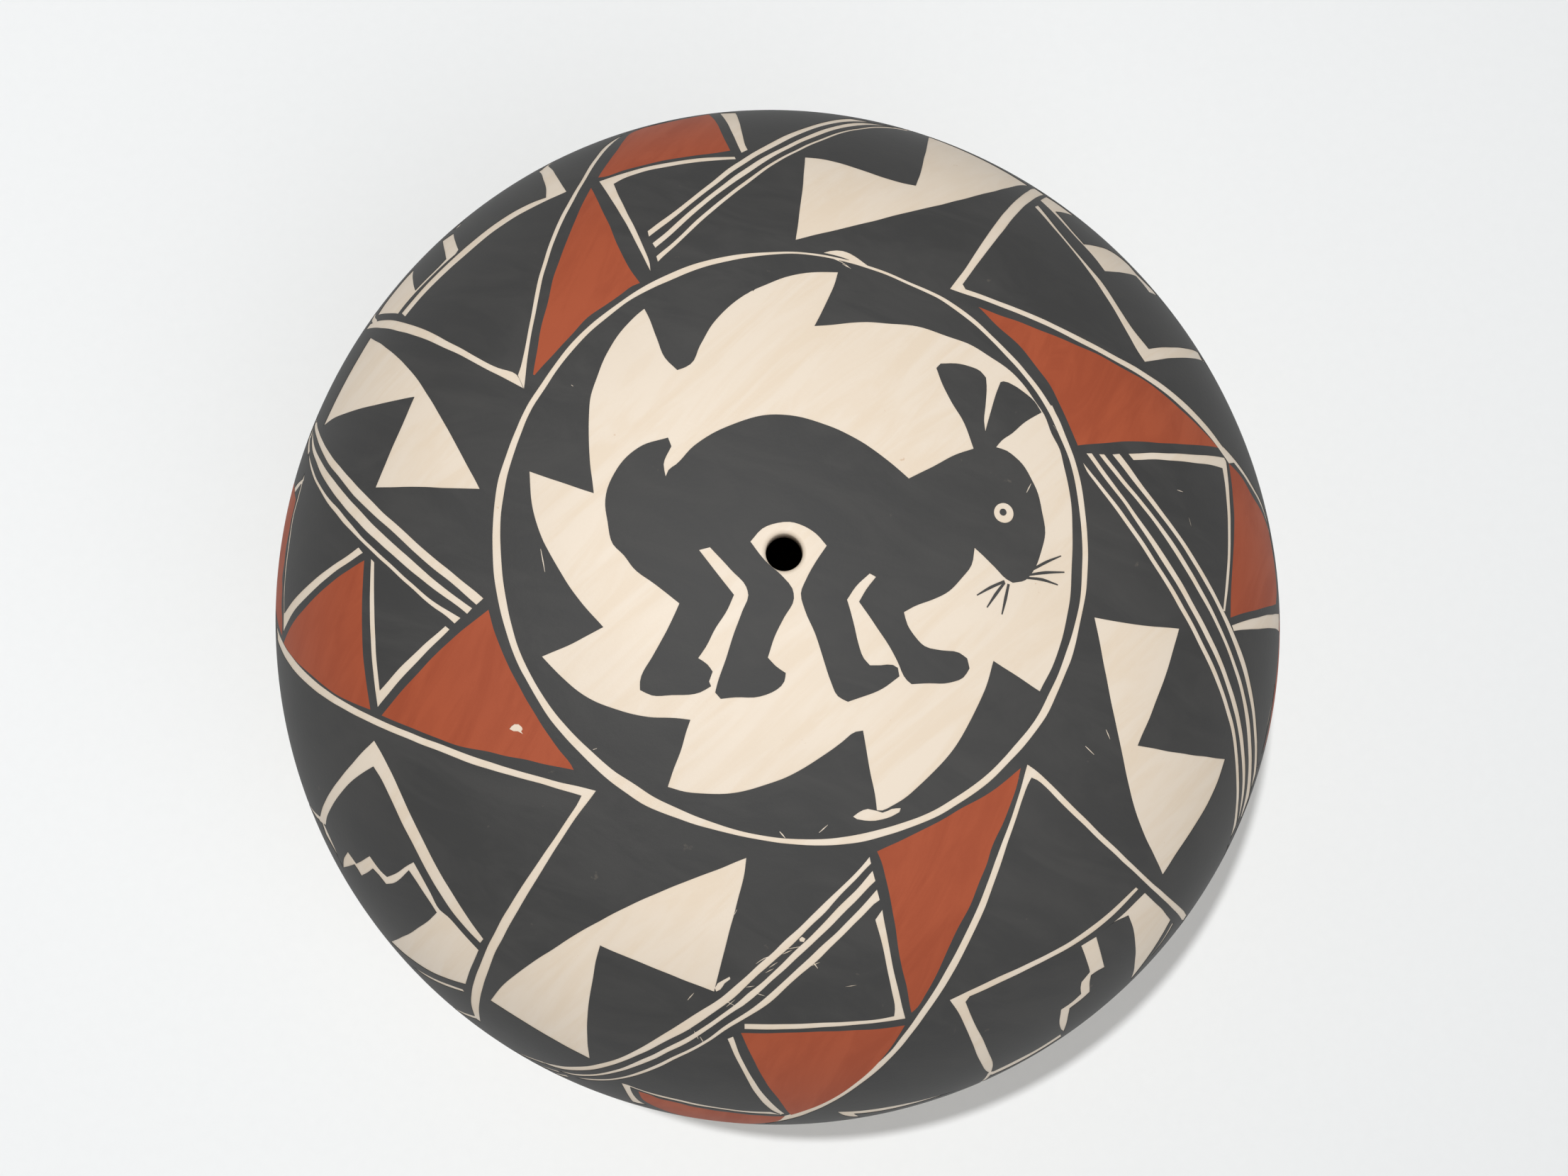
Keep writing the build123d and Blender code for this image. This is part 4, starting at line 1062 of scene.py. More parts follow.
class Painting:
    """The whole painting as one set of triangles on the chart, each with its colour. A shape
    covers those laid before it. The wobble is how far the brush strays, in millimetres."""

    def __init__(self, wobble):
        noise.seed_set(WOBBLE_SEED)
        self.sight = PhotoSight()
        self.wobble = wobble
        self.layers = []
        circle = [chart_point(turn, BAND_END) for turn in range(360)]
        self.lay("black_band", [hand_wobble(point, BAND_END_WOBBLE) for point in circle])
        self.steady_shape("bare", RING_OUTER)
        self.steady_shape("medallion_border", RING_INNER)
        self.shape("bare", MEDALLION)
        for blot in BLOTS:
            self.shape("medallion_border", blot)
        self.shape("rabbit_figure", RABBIT)
        self.touch("bare", EYE_PLACE, EYE_RADIUS)
        self.touch("rabbit_figure", PUPIL_PLACE, PUPIL_RADIUS)
        for whisker in WHISKERS:
            self.line("rabbit_figure", whisker, WHISKER_STROKE)
        for sector in SECTOR_TURNS:
            for outline in BARE_SHAPES[sector] + FINE_LINES[sector]:
                self.steady_shape("bare", outline, sector)
            for points in RUNNING_LINES[sector]:
                self.line("bare", points, RUNNING_STROKE, sector)
            for points in THIN_LINES[sector]:
                self.line("bare", points, THIN_STROKE, sector)
            self.shape("orange_inner", INNER_ORANGE[sector], sector)
            self.shape("orange_outer", OUTER_ORANGE[sector], sector)
            self.shape("orange_outer", LOWER_ORANGE[sector], sector)
        for chip in CHIPS:
            self.shape("bare", chip)
        for scratch in SCRATCHES:
            self.line("bare", scratch, SCRATCH_STROKE)
        self.triangulate()

    def lay(self, colour, outline):
        self.layers.append((colour, outline))

    def shape(self, colour, points, sector="A"):
        self.lay(colour, flowing(charted(self.sight, points, sector), True, self.wobble))

    def steady_shape(self, colour, points, sector="A"):
        """A shape painted with long steady strokes."""
        self.lay(colour, flowing(eased(charted(self.sight, points, sector)), True, self.wobble))

    def line(self, colour, points, stroke, sector="A"):
        self.lay(colour, stroke_outline(charted(self.sight, points, sector), stroke, self.wobble))

    def touch(self, colour, pixel, radius):
        """A small round touch of the brush."""
        place = self.sight.chart(*pixel)
        outline = []
        for index in range(TOUCH_SIDES):
            turn = 2 * pi * index / TOUCH_SIDES
            outline.append(hand_wobble(place + radius * Vector((cos(turn), sin(turn))), self.wobble))
        self.lay(colour, outline)

    def triangulate(self):
        """Join all the outlines in one net, and give each triangle the last colour laid on it."""
        places = []
        edges = []
        for colour, outline in self.layers:
            first = len(places)
            count = len(outline)
            places.extend(outline)
            edges.extend((first + index, first + (index + 1) % count) for index in range(count))
        reach = CHART_STEP
        while reach < BAND_END + CHART_STEP:
            count = max(FEWEST_CHART_PLACES, int(2 * pi * reach / CHART_STEP))
            places.extend(chart_point(360 * index / count, reach) for index in range(count))
            reach += CHART_STEP
        made = delaunay_2d_cdt(places, edges, [], 0, WELD_LENGTH)
        self.places = np.array([(place.x, place.y) for place in made[0]])
        self.triangles = np.array(made[2])
        middles = self.places[self.triangles].mean(axis=1)
        self.colours = np.full(len(self.triangles), "bare", dtype=object)
        for colour, outline in self.layers:
            corners = np.array([(point.x, point.y) for point in outline])
            self.colours[inside(corners, middles[:, 0], middles[:, 1])] = colour


@cache
def painting(wobble):
    """The painting, made once for each wobble of the brush."""
    return Painting(wobble)


def in_scene(name, data):
    """An object made from its data, in the scene's collection."""
    made = bpy.data.objects.new(name, data)
    bpy.context.scene.collection.objects.link(made)
    return made


def add_object(name, points, faces, normals=None):
    """A smooth mesh object from points in metres."""
    mesh = bpy.data.meshes.new(name)
    mesh.from_pydata([tuple(point) for point in points], [], faces)
    mesh.validate()
    mesh.polygons.foreach_set("use_smooth", [True] * len(mesh.polygons))
    if normals is not None:
        mesh.normals_split_custom_set_from_vertices([tuple(normal) for normal in normals])
    return in_scene(name, mesh)


def finish_piece(made, material, nodes):
    """Put a piece on the jar's body, in the place of its solids."""
    made.data.materials.append(material)
    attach(made, "root")
    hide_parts(*nodes)


def paint_skin(colour, form):
    """The painting's parts in one colour, as a thin closed skin on the slip."""
    whole = painting(form.brush_wobble / MM)
    chosen = whole.triangles[whole.colours == colour]
    used = sorted(set(chosen.ravel().tolist()))
    order = {old: new for new, old in enumerate(used)}
    points = []
    normals = []
    for lift in (form.paint_lift / MM, -form.paint_bedding / MM):
        for old in used:
            x, y = whole.places[old]
            turn = atan2(y, x)
            reach = hypot(x, y)
            points.append(on_wall(turn, reach, lift))
            normals.append(wall_normal(turn, max(reach, NORMAL_LEAST_REACH)))
    count = len(used)
    faces = []
    edges = {}
    for triangle in chosen.tolist():
        a, b, c = (order[old] for old in triangle)
        faces.append((a, b, c))
        faces.append((a + count, c + count, b + count))
        for edge in ((a, b), (b, c), (c, a)):
            edges[edge] = True
    for start, end in edges:
        if (end, start) not in edges:
            faces.append((end, start, start + count, end + count))
    return add_object(colour + "_piece", points, faces, normals)


def paint_pieces(context, names, material):
    """The painting's pieces in one kind of paint, each in the place of one node."""
    for name in names:
        finish_piece(paint_skin(name, context.scene.jar_form), material, [name])


def revolved(name, section, turns, closed, press=None):
    """A section of radius and height pairs turned round the axis. A closed section makes a ring,
    an open one starts and ends close to the axis. Press gives how far a row's point is moved out and up."""
    points = []
    for row, (radius, height) in enumerate(section):
        for column in range(turns):
            turn = 2 * pi * column / turns
            out, up = press(row, turn) if press else (0.0, 0.0)
            points.append(at_turn(turn, radius + out, height + up))
    rows = len(section)
    faces = ring_faces(rows, turns, rows if closed else rows - 1)
    if not closed:
        faces.append(tuple(range(turns)))
        faces.append(tuple(range((rows - 1) * turns, rows * turns))[::-1])
    return add_object(name, points, faces)


def spread(start, end, count):
    """Even values from a start to an end, both kept."""
    return [start + (end - start) * index / count for index in range(count + 1)]


def wall_rows(start, end, depth, step):
    """Section points along the wall between two reaches."""
    count = max(2, int(abs(end - start) / step + 0.5))
    return [wall_point(reach, depth) for reach in spread(start, end, count)]


def lip_rows(bore, lip, top, count):
    """Section points of a rounded lip, between the bore and the top."""
    angles = spread(0, pi / 2, count)[1:-1]
    return [(bore + lip - lip * cos(angle), top - lip + lip * sin(angle)) for angle in angles]


def coil_piece(name, start, end):
    """One coil of the wall, smoothed outside and pressed by fingers inside."""
    section = wall_rows(start, end, CLAY_DEPTH, SLIP_STEP)
    pressed_rows = {}
    for index in range(COIL_INSIDE_ROWS + 1):
        share = index / COIL_INSIDE_ROWS
        reach = end + (start - end) * share
        swell = COIL_SWELL * sin(pi * share)
        pressed_rows[len(section)] = (reach, swell)
        section.append(wall_point(reach, INSIDE_DEPTH + swell))

    def press(row, turn):
        if row not in pressed_rows:
            return (0.0, 0.0)
        reach, swell = pressed_rows[row]
        place = Vector((cos(turn) * DIMPLES_ROUND, sin(turn) * DIMPLES_ROUND, reach * DIMPLES_ALONG))
        push = COIL_DIMPLE * noise.noise(place) * swell / COIL_SWELL
        near = wall_point(reach, INSIDE_DEPTH)
        far = wall_point(reach, INSIDE_DEPTH + push)
        return (far[0] - near[0], far[1] - near[1])

    return revolved(name, section, COIL_TURNS, True, press)


def node(tree, kind, **values):
    """A node of a kind with some of its inputs or settings given."""
    made = tree.nodes.new(kind)
    for name, value in values.items():
        label = name.replace("_", " ")
        if label in made.inputs:
            made.inputs[label].default_value = value
        else:
            setattr(made, name, value)
    return made


def effect_group(name, inputs, output):
    """An empty node group with named number inputs and one number output."""
    group = bpy.data.node_groups.new(name, "ShaderNodeTree")
    for label, value in inputs.items():
        socket = group.interface.new_socket(label, in_out="INPUT", socket_type="NodeSocketFloat")
        socket.default_value = value
    group.interface.new_socket(output, in_out="OUTPUT", socket_type="NodeSocketFloat")
    return group, group.nodes.new("NodeGroupInput"), group.nodes.new("NodeGroupOutput")


def brush_streaks():
    """Long faint strokes left by a wide brush or a polishing stone, 0 to 1."""
    if "brush_streaks" in bpy.data.node_groups:
        return bpy.data.node_groups["brush_streaks"]
    inputs = {"Slant": 0.6, "Across": 90.0, "Along": 14.0, "Waviness": 1.5}
    group, given, put = effect_group("brush_streaks", inputs, "Streaks")
    place = node(group, "ShaderNodeTexCoord")
    turned = node(group, "ShaderNodeVectorRotate", rotation_type="Z_AXIS", invert=True)
    stretch = node(group, "ShaderNodeCombineXYZ")
    stretched = node(group, "ShaderNodeVectorMath", operation="MULTIPLY")
    streak = node(group, "ShaderNodeTexNoise", Scale=1.0, Detail=4.0, Roughness=0.6)
    link = group.links.new
    link(given.outputs["Along"], stretch.inputs["X"])
    link(given.outputs["Across"], stretch.inputs["Y"])
    link(given.outputs["Along"], stretch.inputs["Z"])
    link(place.outputs["Object"], turned.inputs["Vector"])
    link(given.outputs["Slant"], turned.inputs["Angle"])
    link(turned.outputs["Vector"], stretched.inputs[0])
    link(stretch.outputs["Vector"], stretched.inputs[1])
    link(stretched.outputs["Vector"], streak.inputs["Vector"])
    link(given.outputs["Waviness"], streak.inputs["Distortion"])
    link(streak.outputs["Fac"], put.inputs["Streaks"])
    return group


def fine_grain():
    """Even fine grain, 0 to 1."""
    if "fine_grain" in bpy.data.node_groups:
        return bpy.data.node_groups["fine_grain"]
    inputs = {"Size": 900.0, "Detail": 3.0}
    group, given, put = effect_group("fine_grain", inputs, "Grain")
    place = node(group, "ShaderNodeTexCoord")
    grain = node(group, "ShaderNodeTexNoise", Roughness=0.65)
    link = group.links.new
    link(place.outputs["Object"], grain.inputs["Vector"])
    link(given.outputs["Size"], grain.inputs["Scale"])
    link(given.outputs["Detail"], grain.inputs["Detail"])
    link(grain.outputs["Fac"], put.inputs["Grain"])
    return group


def rubbed_places():
    """Scattered places where a surface is rubbed or stained, 0 to 1."""
    if "rubbed_places" in bpy.data.node_groups:
        return bpy.data.node_groups["rubbed_places"]
    inputs = {"Size": 40.0, "Start": 0.6, "Full": 0.75}
    group, given, put = effect_group("rubbed_places", inputs, "Rubbed")
    place = node(group, "ShaderNodeTexCoord")
    patch = node(group, "ShaderNodeTexNoise", Detail=6.0, Roughness=0.6)
    ramp = node(group, "ShaderNodeMapRange")
    link = group.links.new
    link(place.outputs["Object"], patch.inputs["Vector"])
    link(given.outputs["Size"], patch.inputs["Scale"])
    link(patch.outputs["Fac"], ramp.inputs["Value"])
    link(given.outputs["Start"], ramp.inputs["From Min"])
    link(given.outputs["Full"], ramp.inputs["From Max"])
    link(ramp.outputs["Result"], put.inputs["Rubbed"])
    return group


def placed_group(tree, group, **values):
    """The output of a node group placed in a material with its own values."""
    made = tree.nodes.new("ShaderNodeGroup")
    made.node_tree = group
    for name, value in values.items():
        made.inputs[name].default_value = value
    return made.outputs[0]


def ranged(tree, value, **limits):
    """A value taken from one range to another. A range that isn't given is 0 to 1."""
    ramp = node(tree, "ShaderNodeMapRange", **limits)
    tree.links.new(value, ramp.inputs["Value"])
    return ramp.outputs["Result"]


def blend_colours(tree, share, first, second, strength):
    """One colour over another, where a mask is high. Each colour is a value or an output."""
    weight = node(tree, "ShaderNodeMath", operation="MULTIPLY")
    tree.links.new(share, weight.inputs[0])
    weight.inputs[1].default_value = strength
    mix = node(tree, "ShaderNodeMix", data_type="RGBA")
    tree.links.new(weight.outputs[0], mix.inputs["Factor"])
    for socket, colour in ((mix.inputs[6], first), (mix.inputs[7], second)):
        if hasattr(colour, "is_linked"):
            tree.links.new(colour, socket)
        else:
            socket.default_value = (*colour, 1.0)
    return mix.outputs[2]


def new_finish(name):
    """An empty material with a surface shader, and its node tree."""
    material = bpy.data.materials.new(name)
    material.use_nodes = True
    return material, material.node_tree, material.node_tree.nodes["Principled BSDF"]


def coat(tree, shader, colour, roughness, grain, strength, distance=0.0002):
    """Give a shader a colour, a roughness and a bump from a grain, up to a distance in metres."""
    tree.links.new(colour, shader.inputs["Base Color"])
    tree.links.new(roughness, shader.inputs["Roughness"])
    bump = node(tree, "ShaderNodeBump", Strength=strength, Distance=distance)
    tree.links.new(grain, bump.inputs["Height"])
    tree.links.new(bump.outputs["Normal"], shader.inputs["Normal"])


def slip_finish(finish):
    """White slip, stroked on and polished with a stone."""
    if "polished_slip" in bpy.data.materials:
        return bpy.data.materials["polished_slip"]
    material, tree, shader = new_finish("polished_slip")
    stroke = placed_group(tree, brush_streaks(), Slant=0.75, Across=190.0, Along=30.0)
    patch = placed_group(tree, rubbed_places(), Size=16.0, Start=0.48, Full=0.72)
    spot = placed_group(tree, rubbed_places(), Size=420.0, Start=0.71, Full=0.76)
    grain = placed_group(tree, fine_grain(), Size=1100.0)
    streak = ranged(tree, stroke, From_Min=0.42, From_Max=0.62)
    colour = blend_colours(tree, streak, finish.slip_colour, finish.slip_warm, strength=0.55)
    colour = blend_colours(tree, patch, colour, finish.slip_cool, strength=0.5)
    colour = blend_colours(tree, spot, colour, finish.clay_colour, strength=0.6)
    coat(tree, shader, colour, ranged(tree, stroke, To_Min=0.5, To_Max=0.62), grain, strength=0.12)
    return material


def black_finish(finish):
    """Matt black mineral paint, thinner in the strokes' hollows and rubbed in places."""
    if "matt_black" in bpy.data.materials:
        return bpy.data.materials["matt_black"]
    material, tree, shader = new_finish("matt_black")
    stroke = placed_group(tree, brush_streaks(), Slant=-0.4, Across=120.0, Along=40.0)
    patch = placed_group(tree, rubbed_places(), Size=22.0, Start=0.5, Full=0.8)
    scuff = placed_group(tree, rubbed_places(), Size=260.0, Start=0.7, Full=0.78)
    grain = placed_group(tree, fine_grain(), Size=1400.0)
    streak = ranged(tree, stroke, From_Min=0.4, From_Max=0.66)
    colour = blend_colours(tree, streak, finish.black_colour, finish.black_thin, strength=0.5)
    colour = blend_colours(tree, patch, colour, finish.black_thin, strength=0.7)
    colour = blend_colours(tree, scuff, colour, finish.slip_warm, strength=0.1)
    shader.inputs["Specular IOR Level"].default_value = 0.32
    coat(tree, shader, colour, ranged(tree, stroke, To_Min=0.58, To_Max=0.72), grain, strength=0.15)
    return material


def orange_finish(finish):
    """Orange-red clay paint with its brush strokes."""
    if "matt_orange" in bpy.data.materials:
        return bpy.data.materials["matt_orange"]
    material, tree, shader = new_finish("matt_orange")
    stroke = placed_group(tree, brush_streaks(), Slant=1.1, Across=150.0, Along=35.0)
    patch = placed_group(tree, rubbed_places(), Size=28.0, Start=0.45, Full=0.75)
    grain = placed_group(tree, fine_grain(), Size=1300.0)
    streak = ranged(tree, stroke, From_Min=0.4, From_Max=0.62)
    colour = blend_colours(tree, streak, finish.orange_colour, finish.orange_deep, strength=0.6)
    colour = blend_colours(tree, patch, colour, finish.orange_deep, strength=0.4)
    shader.inputs["Specular IOR Level"].default_value = 0.3
    coat(tree, shader, colour, ranged(tree, stroke, To_Min=0.62, To_Max=0.76), grain, strength=0.12)
    return material


def clay_finish(finish):
    """Bare fired clay with sand in it."""
    if "fired_clay" in bpy.data.materials:
        return bpy.data.materials["fired_clay"]
    material, tree, shader = new_finish("fired_clay")
    patch = placed_group(tree, rubbed_places(), Size=18.0, Start=0.4, Full=0.7)
    sand = placed_group(tree, rubbed_places(), Size=650.0, Start=0.62, Full=0.7)
    grain = placed_group(tree, fine_grain(), Size=800.0)
    colour = blend_colours(tree, patch, finish.clay_colour, finish.clay_smoked, strength=0.6)
    colour = blend_colours(tree, sand, colour, finish.slip_warm, strength=0.35)
    roughness = ranged(tree, grain, To_Min=0.78, To_Max=0.95)
    coat(tree, shader, colour, roughness, grain, strength=0.35, distance=0.0004)
    return material


def colour_property(name, description, colour):
    """A surface colour that a user can change."""
    return FloatVectorProperty(
        name=name, description=description, default=colour, size=3, min=0.0, max=1.0, subtype="COLOR",
    )


class JarForm(bpy.types.PropertyGroup):
    """Sizes of the painted jar, in metres."""

    brush_wobble: FloatProperty(
        name="Brush wobble", description="How far the painter's line strays",
        default=0.00012, min=0.0, max=0.001, precision=5, unit="LENGTH",
    )
    paint_lift: FloatProperty(
        name="Paint lift", description="How far the paint stands off the slip",
        default=0.0001, min=0.00002, max=0.0002, precision=5, unit="LENGTH",
    )
    paint_bedding: FloatProperty(
        name="Paint bedding", description="How far the paint's underside sits in the slip",
        default=0.00003, min=0.0, max=0.0003, precision=5, unit="LENGTH",
    )


class JarFinish(bpy.types.PropertyGroup):
    """Colours of the jar's surfaces."""

    slip_colour: colour_property("Slip", "White slip", (0.69, 0.595, 0.485))
    slip_warm: colour_property("Slip, warm", "Warmer strokes in the slip", (0.65, 0.53, 0.395))
    slip_cool: colour_property("Slip, thin", "Greyer places in the slip", (0.615, 0.52, 0.415))
    black_colour: colour_property("Black", "Black mineral paint", (0.037, 0.0365, 0.0355))
    black_thin: colour_property("Black, thin", "Where the black is thinner", (0.055, 0.0535, 0.051))
    orange_colour: colour_property("Orange", "Orange-red clay paint", (0.34, 0.070, 0.026))
    orange_deep: colour_property("Orange, deep", "Deeper strokes in the orange", (0.27, 0.050, 0.018))
    clay_colour: colour_property("Clay", "Bare fired clay", (0.50, 0.33, 0.20))
    clay_smoked: colour_property("Clay, smoked", "Clay darkened in firing", (0.30, 0.20, 0.13))


class JarStage(bpy.types.PropertyGroup):
    """Light and ground."""

    sky_strength: FloatProperty(
        name="Sky", description="Strength of the even light from all round", default=0.38, min=0.0,
    )
    lamp_power: FloatProperty(
        name="Lamp", description="Power of the lamp above the jar",
        default=14.8, min=0.0, unit="POWER",
    )
    lamp_radius: FloatProperty(
        name="Lamp size", description="How wide the lamp is", default=0.012, min=0.0, unit="LENGTH",
    )
    fill_strength: FloatProperty(
        name="Fill", description="Strength of the wide light from the lower right", default=0.7, min=0.0,
    )
    fill_spread: FloatProperty(
        name="Fill size", description="How wide the light from the lower right is",
        default=1.0, min=0.0, max=3.1, subtype="ANGLE",
    )
    ground_colour: colour_property("Ground", "White paper under the jar", (0.86, 0.87, 0.87))


class SEEDJAR_OT_base(bpy.types.Operator):
    """The moulded base: floor, foot ring and the start of the underside"""

    bl_idname = "seedjar.base"
    bl_label = "Base"

    def execute(self, context):
        seam = base_seam()
        foot_radius = underside_x(CLAY_DEPTH, 0)
        push_up_radius = foot_radius - FOOT_RING_WIDTH
        floor_height = PUSH_UP_HEIGHT + FLOOR_THICKNESS
        floor_radius = underside_x(INSIDE_DEPTH, floor_height)
        section = [(CENTRE_RADIUS, floor_height)]
        section += [(floor_radius * share, floor_height) for share in FLOOR_SHARES]
        for height in spread(floor_height, wall_point(seam, INSIDE_DEPTH)[1], BASE_INSIDE_ROWS):
            section.append((underside_x(INSIDE_DEPTH, height), height))
        for height in spread(wall_point(seam, CLAY_DEPTH)[1], 0, BASE_OUTSIDE_ROWS):
            height = max(height, FOOT_EDGE_SOFTNESS)
            section.append((underside_x(CLAY_DEPTH, height), height))
        section += [(foot_radius - FOOT_EDGE_SOFTNESS, 0.0), (push_up_radius + FOOT_EDGE_SOFTNESS, 0.0)]
        curve = (push_up_radius**2 + PUSH_UP_HEIGHT**2) / (2 * PUSH_UP_HEIGHT)
        for radius in spread(push_up_radius, CENTRE_RADIUS, PUSH_UP_ROWS):
            section.append((radius, PUSH_UP_HEIGHT - curve + sqrt(curve**2 - radius**2)))
        made = revolved("base_pat_piece", section, COIL_TURNS, False)
        finish_piece(made, clay_finish(context.scene.jar_finish), ["base_pat"])
        return {"FINISHED"}


class SEEDJAR_OT_wall_coils(bpy.types.Operator):
    """The wall's coils of clay, scraped smooth outside and pressed by fingers inside"""

    bl_idname = "seedjar.wall_coils"
    bl_label = "Wall coils"

    def execute(self, context):
        coil_reach = (base_seam() - MOUTH_COIL_REACH) / WALL_COIL_COUNT
        for number in range(1, WALL_COIL_COUNT + 1):
            name = f"wall_coil_{number:02d}"
            end = base_seam() - (number - 1) * coil_reach
            made = coil_piece(name + "_piece", end - coil_reach, end)
            finish_piece(made, clay_finish(context.scene.jar_finish), [name])
        return {"FINISHED"}


class SEEDJAR_OT_mouth_coil(bpy.types.Operator):
    """The last coil of clay, with the mouth through it"""

    bl_idname = "seedjar.mouth_coil"
    bl_label = "Mouth coil"

    def execute(self, context):
        bore = MOUTH_RADIUS + MOUTH_SLIP_THICKNESS
        lip = MOUTH_LIP_RADIUS - MOUTH_SLIP_THICKNESS
        top = wall_point(bore + lip, CLAY_DEPTH)[1]
        section = [(bore, wall_point(bore, INSIDE_DEPTH)[1]), (bore, top - lip)]
        section += lip_rows(bore, lip, top, CLAY_LIP_ROWS)
        section += wall_rows(bore + lip, MOUTH_COIL_REACH, CLAY_DEPTH, SLIP_STEP)
        section += wall_rows(MOUTH_COIL_REACH, bore + lip, INSIDE_DEPTH, SLIP_STEP)
        made = revolved("mouth_coil_piece", section, COIL_TURNS, True)
        finish_piece(made, clay_finish(context.scene.jar_finish), ["mouth_coil"])
        return {"FINISHED"}


class SEEDJAR_OT_white_slip(bpy.types.Operator):
    """The skin of white slip, from inside the mouth to low on the underside"""

    bl_idname = "seedjar.white_slip"
    bl_label = "White slip"

    def execute(self, context):
        stop = base_seam() - SLIP_STOP_LENGTH
        start = MOUTH_RADIUS + MOUTH_LIP_RADIUS
        back = MOUTH_RADIUS + MOUTH_SLIP_THICKNESS
        top = wall_point(start, 0)[1]
        lip_foot = top - MOUTH_LIP_RADIUS
        slip_foot = lip_foot - MOUTH_SLIP_LENGTH
        section = [(MOUTH_RADIUS, slip_foot), (MOUTH_RADIUS, lip_foot)]
        section += lip_rows(MOUTH_RADIUS, MOUTH_LIP_RADIUS, top, SLIP_LIP_ROWS)
        section += wall_rows(start, stop, 0, SLIP_STEP)
        section += wall_rows(stop, start, CLAY_DEPTH, SLIP_BACK_STEP)
        section += [(back, lip_foot), (back, slip_foot)]
        made = revolved("white_slip_piece", section, WALL_TURNS, True)
        finish_piece(made, slip_finish(context.scene.jar_finish), ["white_slip"])
        return {"FINISHED"}


class SEEDJAR_OT_black_paint(bpy.types.Operator):
    """The black paint: the medallion's border, the rabbit and the band"""

    bl_idname = "seedjar.black_paint"
    bl_label = "Black paint"

    def execute(self, context):
        names = ("medallion_border", "rabbit_figure", "black_band")
        paint_pieces(context, names, black_finish(context.scene.jar_finish))
        return {"FINISHED"}


class SEEDJAR_OT_orange_paint(bpy.types.Operator):
    """The orange paint: an inner row of triangles, and the outer and lower rows in one piece"""

    bl_idname = "seedjar.orange_paint"
    bl_label = "Orange paint"

    def execute(self, context):
        names = ("orange_inner", "orange_outer")
        paint_pieces(context, names, orange_finish(context.scene.jar_finish))
        return {"FINISHED"}


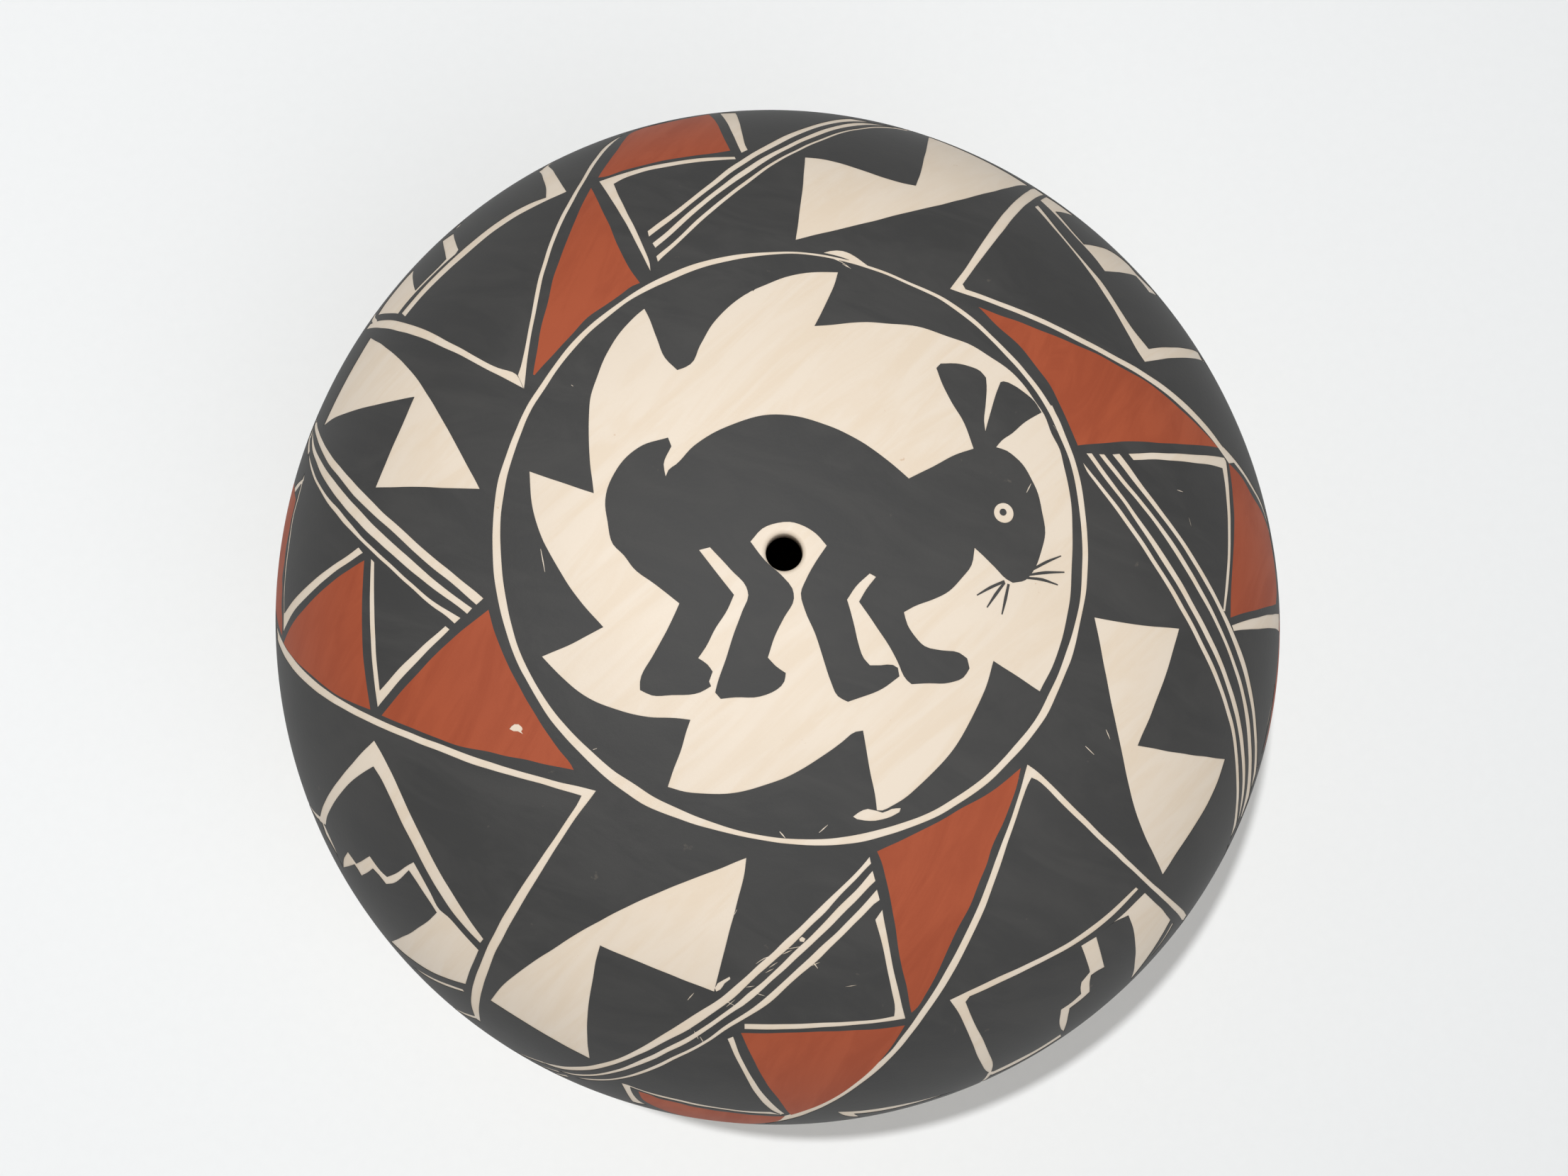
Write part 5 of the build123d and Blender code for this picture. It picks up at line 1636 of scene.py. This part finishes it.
class SEEDJAR_OT_stage(bpy.types.Operator):
    """The ground, the light and the camera"""

    bl_idname = "seedjar.stage"
    bl_label = "Stage"

    def execute(self, context):
        stage = context.scene.jar_stage
        self.ground(stage)
        self.light(stage)
        self.camera()
        context.scene.view_settings.view_transform = "Standard"
        return {"FINISHED"}

    def ground(self, stage):
        half = GROUND_HALF * MM
        corners = [(-half, -half, 0), (half, -half, 0), (half, half, 0), (-half, half, 0)]
        made = add_object("ground", corners, [(0, 1, 2, 3)])
        material, tree, shader = new_finish("white_paper")
        colour = tuple(stage.ground_colour)
        deeper = tuple(channel * PAPER_GRAIN_SHARE for channel in colour)
        grain = placed_group(tree, fine_grain(), Size=350.0)
        mixed = blend_colours(tree, grain, colour, deeper, strength=1.0)
        tree.links.new(mixed, shader.inputs["Base Color"])
        shader.inputs["Roughness"].default_value = PAPER_ROUGHNESS
        made.data.materials.append(material)

    def light(self, stage):
        world = bpy.data.worlds.new("even_light")
        world.use_nodes = True
        sky = world.node_tree.nodes["Background"]
        sky.inputs["Color"].default_value = (*SKY_COLOUR, 1.0)
        sky.inputs["Strength"].default_value = stage.sky_strength
        bpy.context.scene.world = world
        lamp = bpy.data.lights.new("lamp", "POINT")
        lamp.energy = stage.lamp_power
        lamp.shadow_soft_size = stage.lamp_radius
        in_scene("lamp", lamp).location = Vector(LAMP_PLACE) * MM
        fill = bpy.data.lights.new("fill", "SUN")
        fill.energy = stage.fill_strength
        fill.angle = stage.fill_spread
        turn = Vector(FILL_DIRECTION).to_track_quat("Z", "Y").to_euler()
        in_scene("fill", fill).rotation_euler = turn

    def camera(self):
        right, up, back = photo_axes()
        lens = bpy.data.cameras.new("camera")
        lens.lens = FOCAL_PIXELS / PHOTO_WIDTH * SENSOR_WIDTH
        lens.sensor_width = SENSOR_WIDTH
        lens.sensor_fit = "HORIZONTAL"
        lens.clip_start = CLIP_START * MM
        lens.clip_end = CLIP_END * MM
        made = in_scene("camera", lens)
        turn = Matrix((right, up, back)).transposed()
        made.matrix_world = Matrix.Translation(Vector(CAMERA_PLACE) * MM) @ turn.to_4x4()
        bpy.context.scene.camera = made


class SEEDJAR_PT_panel(bpy.types.Panel):
    """The jar's sizes, colours and pieces"""

    bl_idname = "SEEDJAR_PT_panel"
    bl_label = "Seed jar"
    bl_space_type = "VIEW_3D"
    bl_region_type = "UI"
    bl_category = "Seed jar"

    def draw(self, context):
        for title, group in (("Sizes", "jar_form"), ("Colours", "jar_finish"), ("Light", "jar_stage")):
            box = self.layout.box()
            box.label(text=title)
            values = getattr(context.scene, group)
            for name in values.__annotations__:
                box.prop(values, name)
        for operator in OPERATORS:
            self.layout.operator(operator.bl_idname)


OPERATORS = (
    SEEDJAR_OT_base,
    SEEDJAR_OT_wall_coils,
    SEEDJAR_OT_mouth_coil,
    SEEDJAR_OT_white_slip,
    SEEDJAR_OT_black_paint,
    SEEDJAR_OT_orange_paint,
    SEEDJAR_OT_stage,
)
CLASSES = (JarForm, JarFinish, JarStage, *OPERATORS, SEEDJAR_PT_panel)


def register():
    for each in CLASSES:
        bpy.utils.register_class(each)
    bpy.types.Scene.jar_form = PointerProperty(type=JarForm)
    bpy.types.Scene.jar_finish = PointerProperty(type=JarFinish)
    bpy.types.Scene.jar_stage = PointerProperty(type=JarStage)


def unregister():
    del bpy.types.Scene.jar_stage
    del bpy.types.Scene.jar_finish
    del bpy.types.Scene.jar_form
    for each in reversed(CLASSES):
        bpy.utils.unregister_class(each)


def main():
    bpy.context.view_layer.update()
    register()
    bpy.ops.seedjar.base()
    bpy.ops.seedjar.wall_coils()
    bpy.ops.seedjar.mouth_coil()
    bpy.ops.seedjar.white_slip()
    bpy.ops.seedjar.black_paint()
    bpy.ops.seedjar.orange_paint()
    bpy.ops.seedjar.stage()


if __name__ == "__main__":
    main()
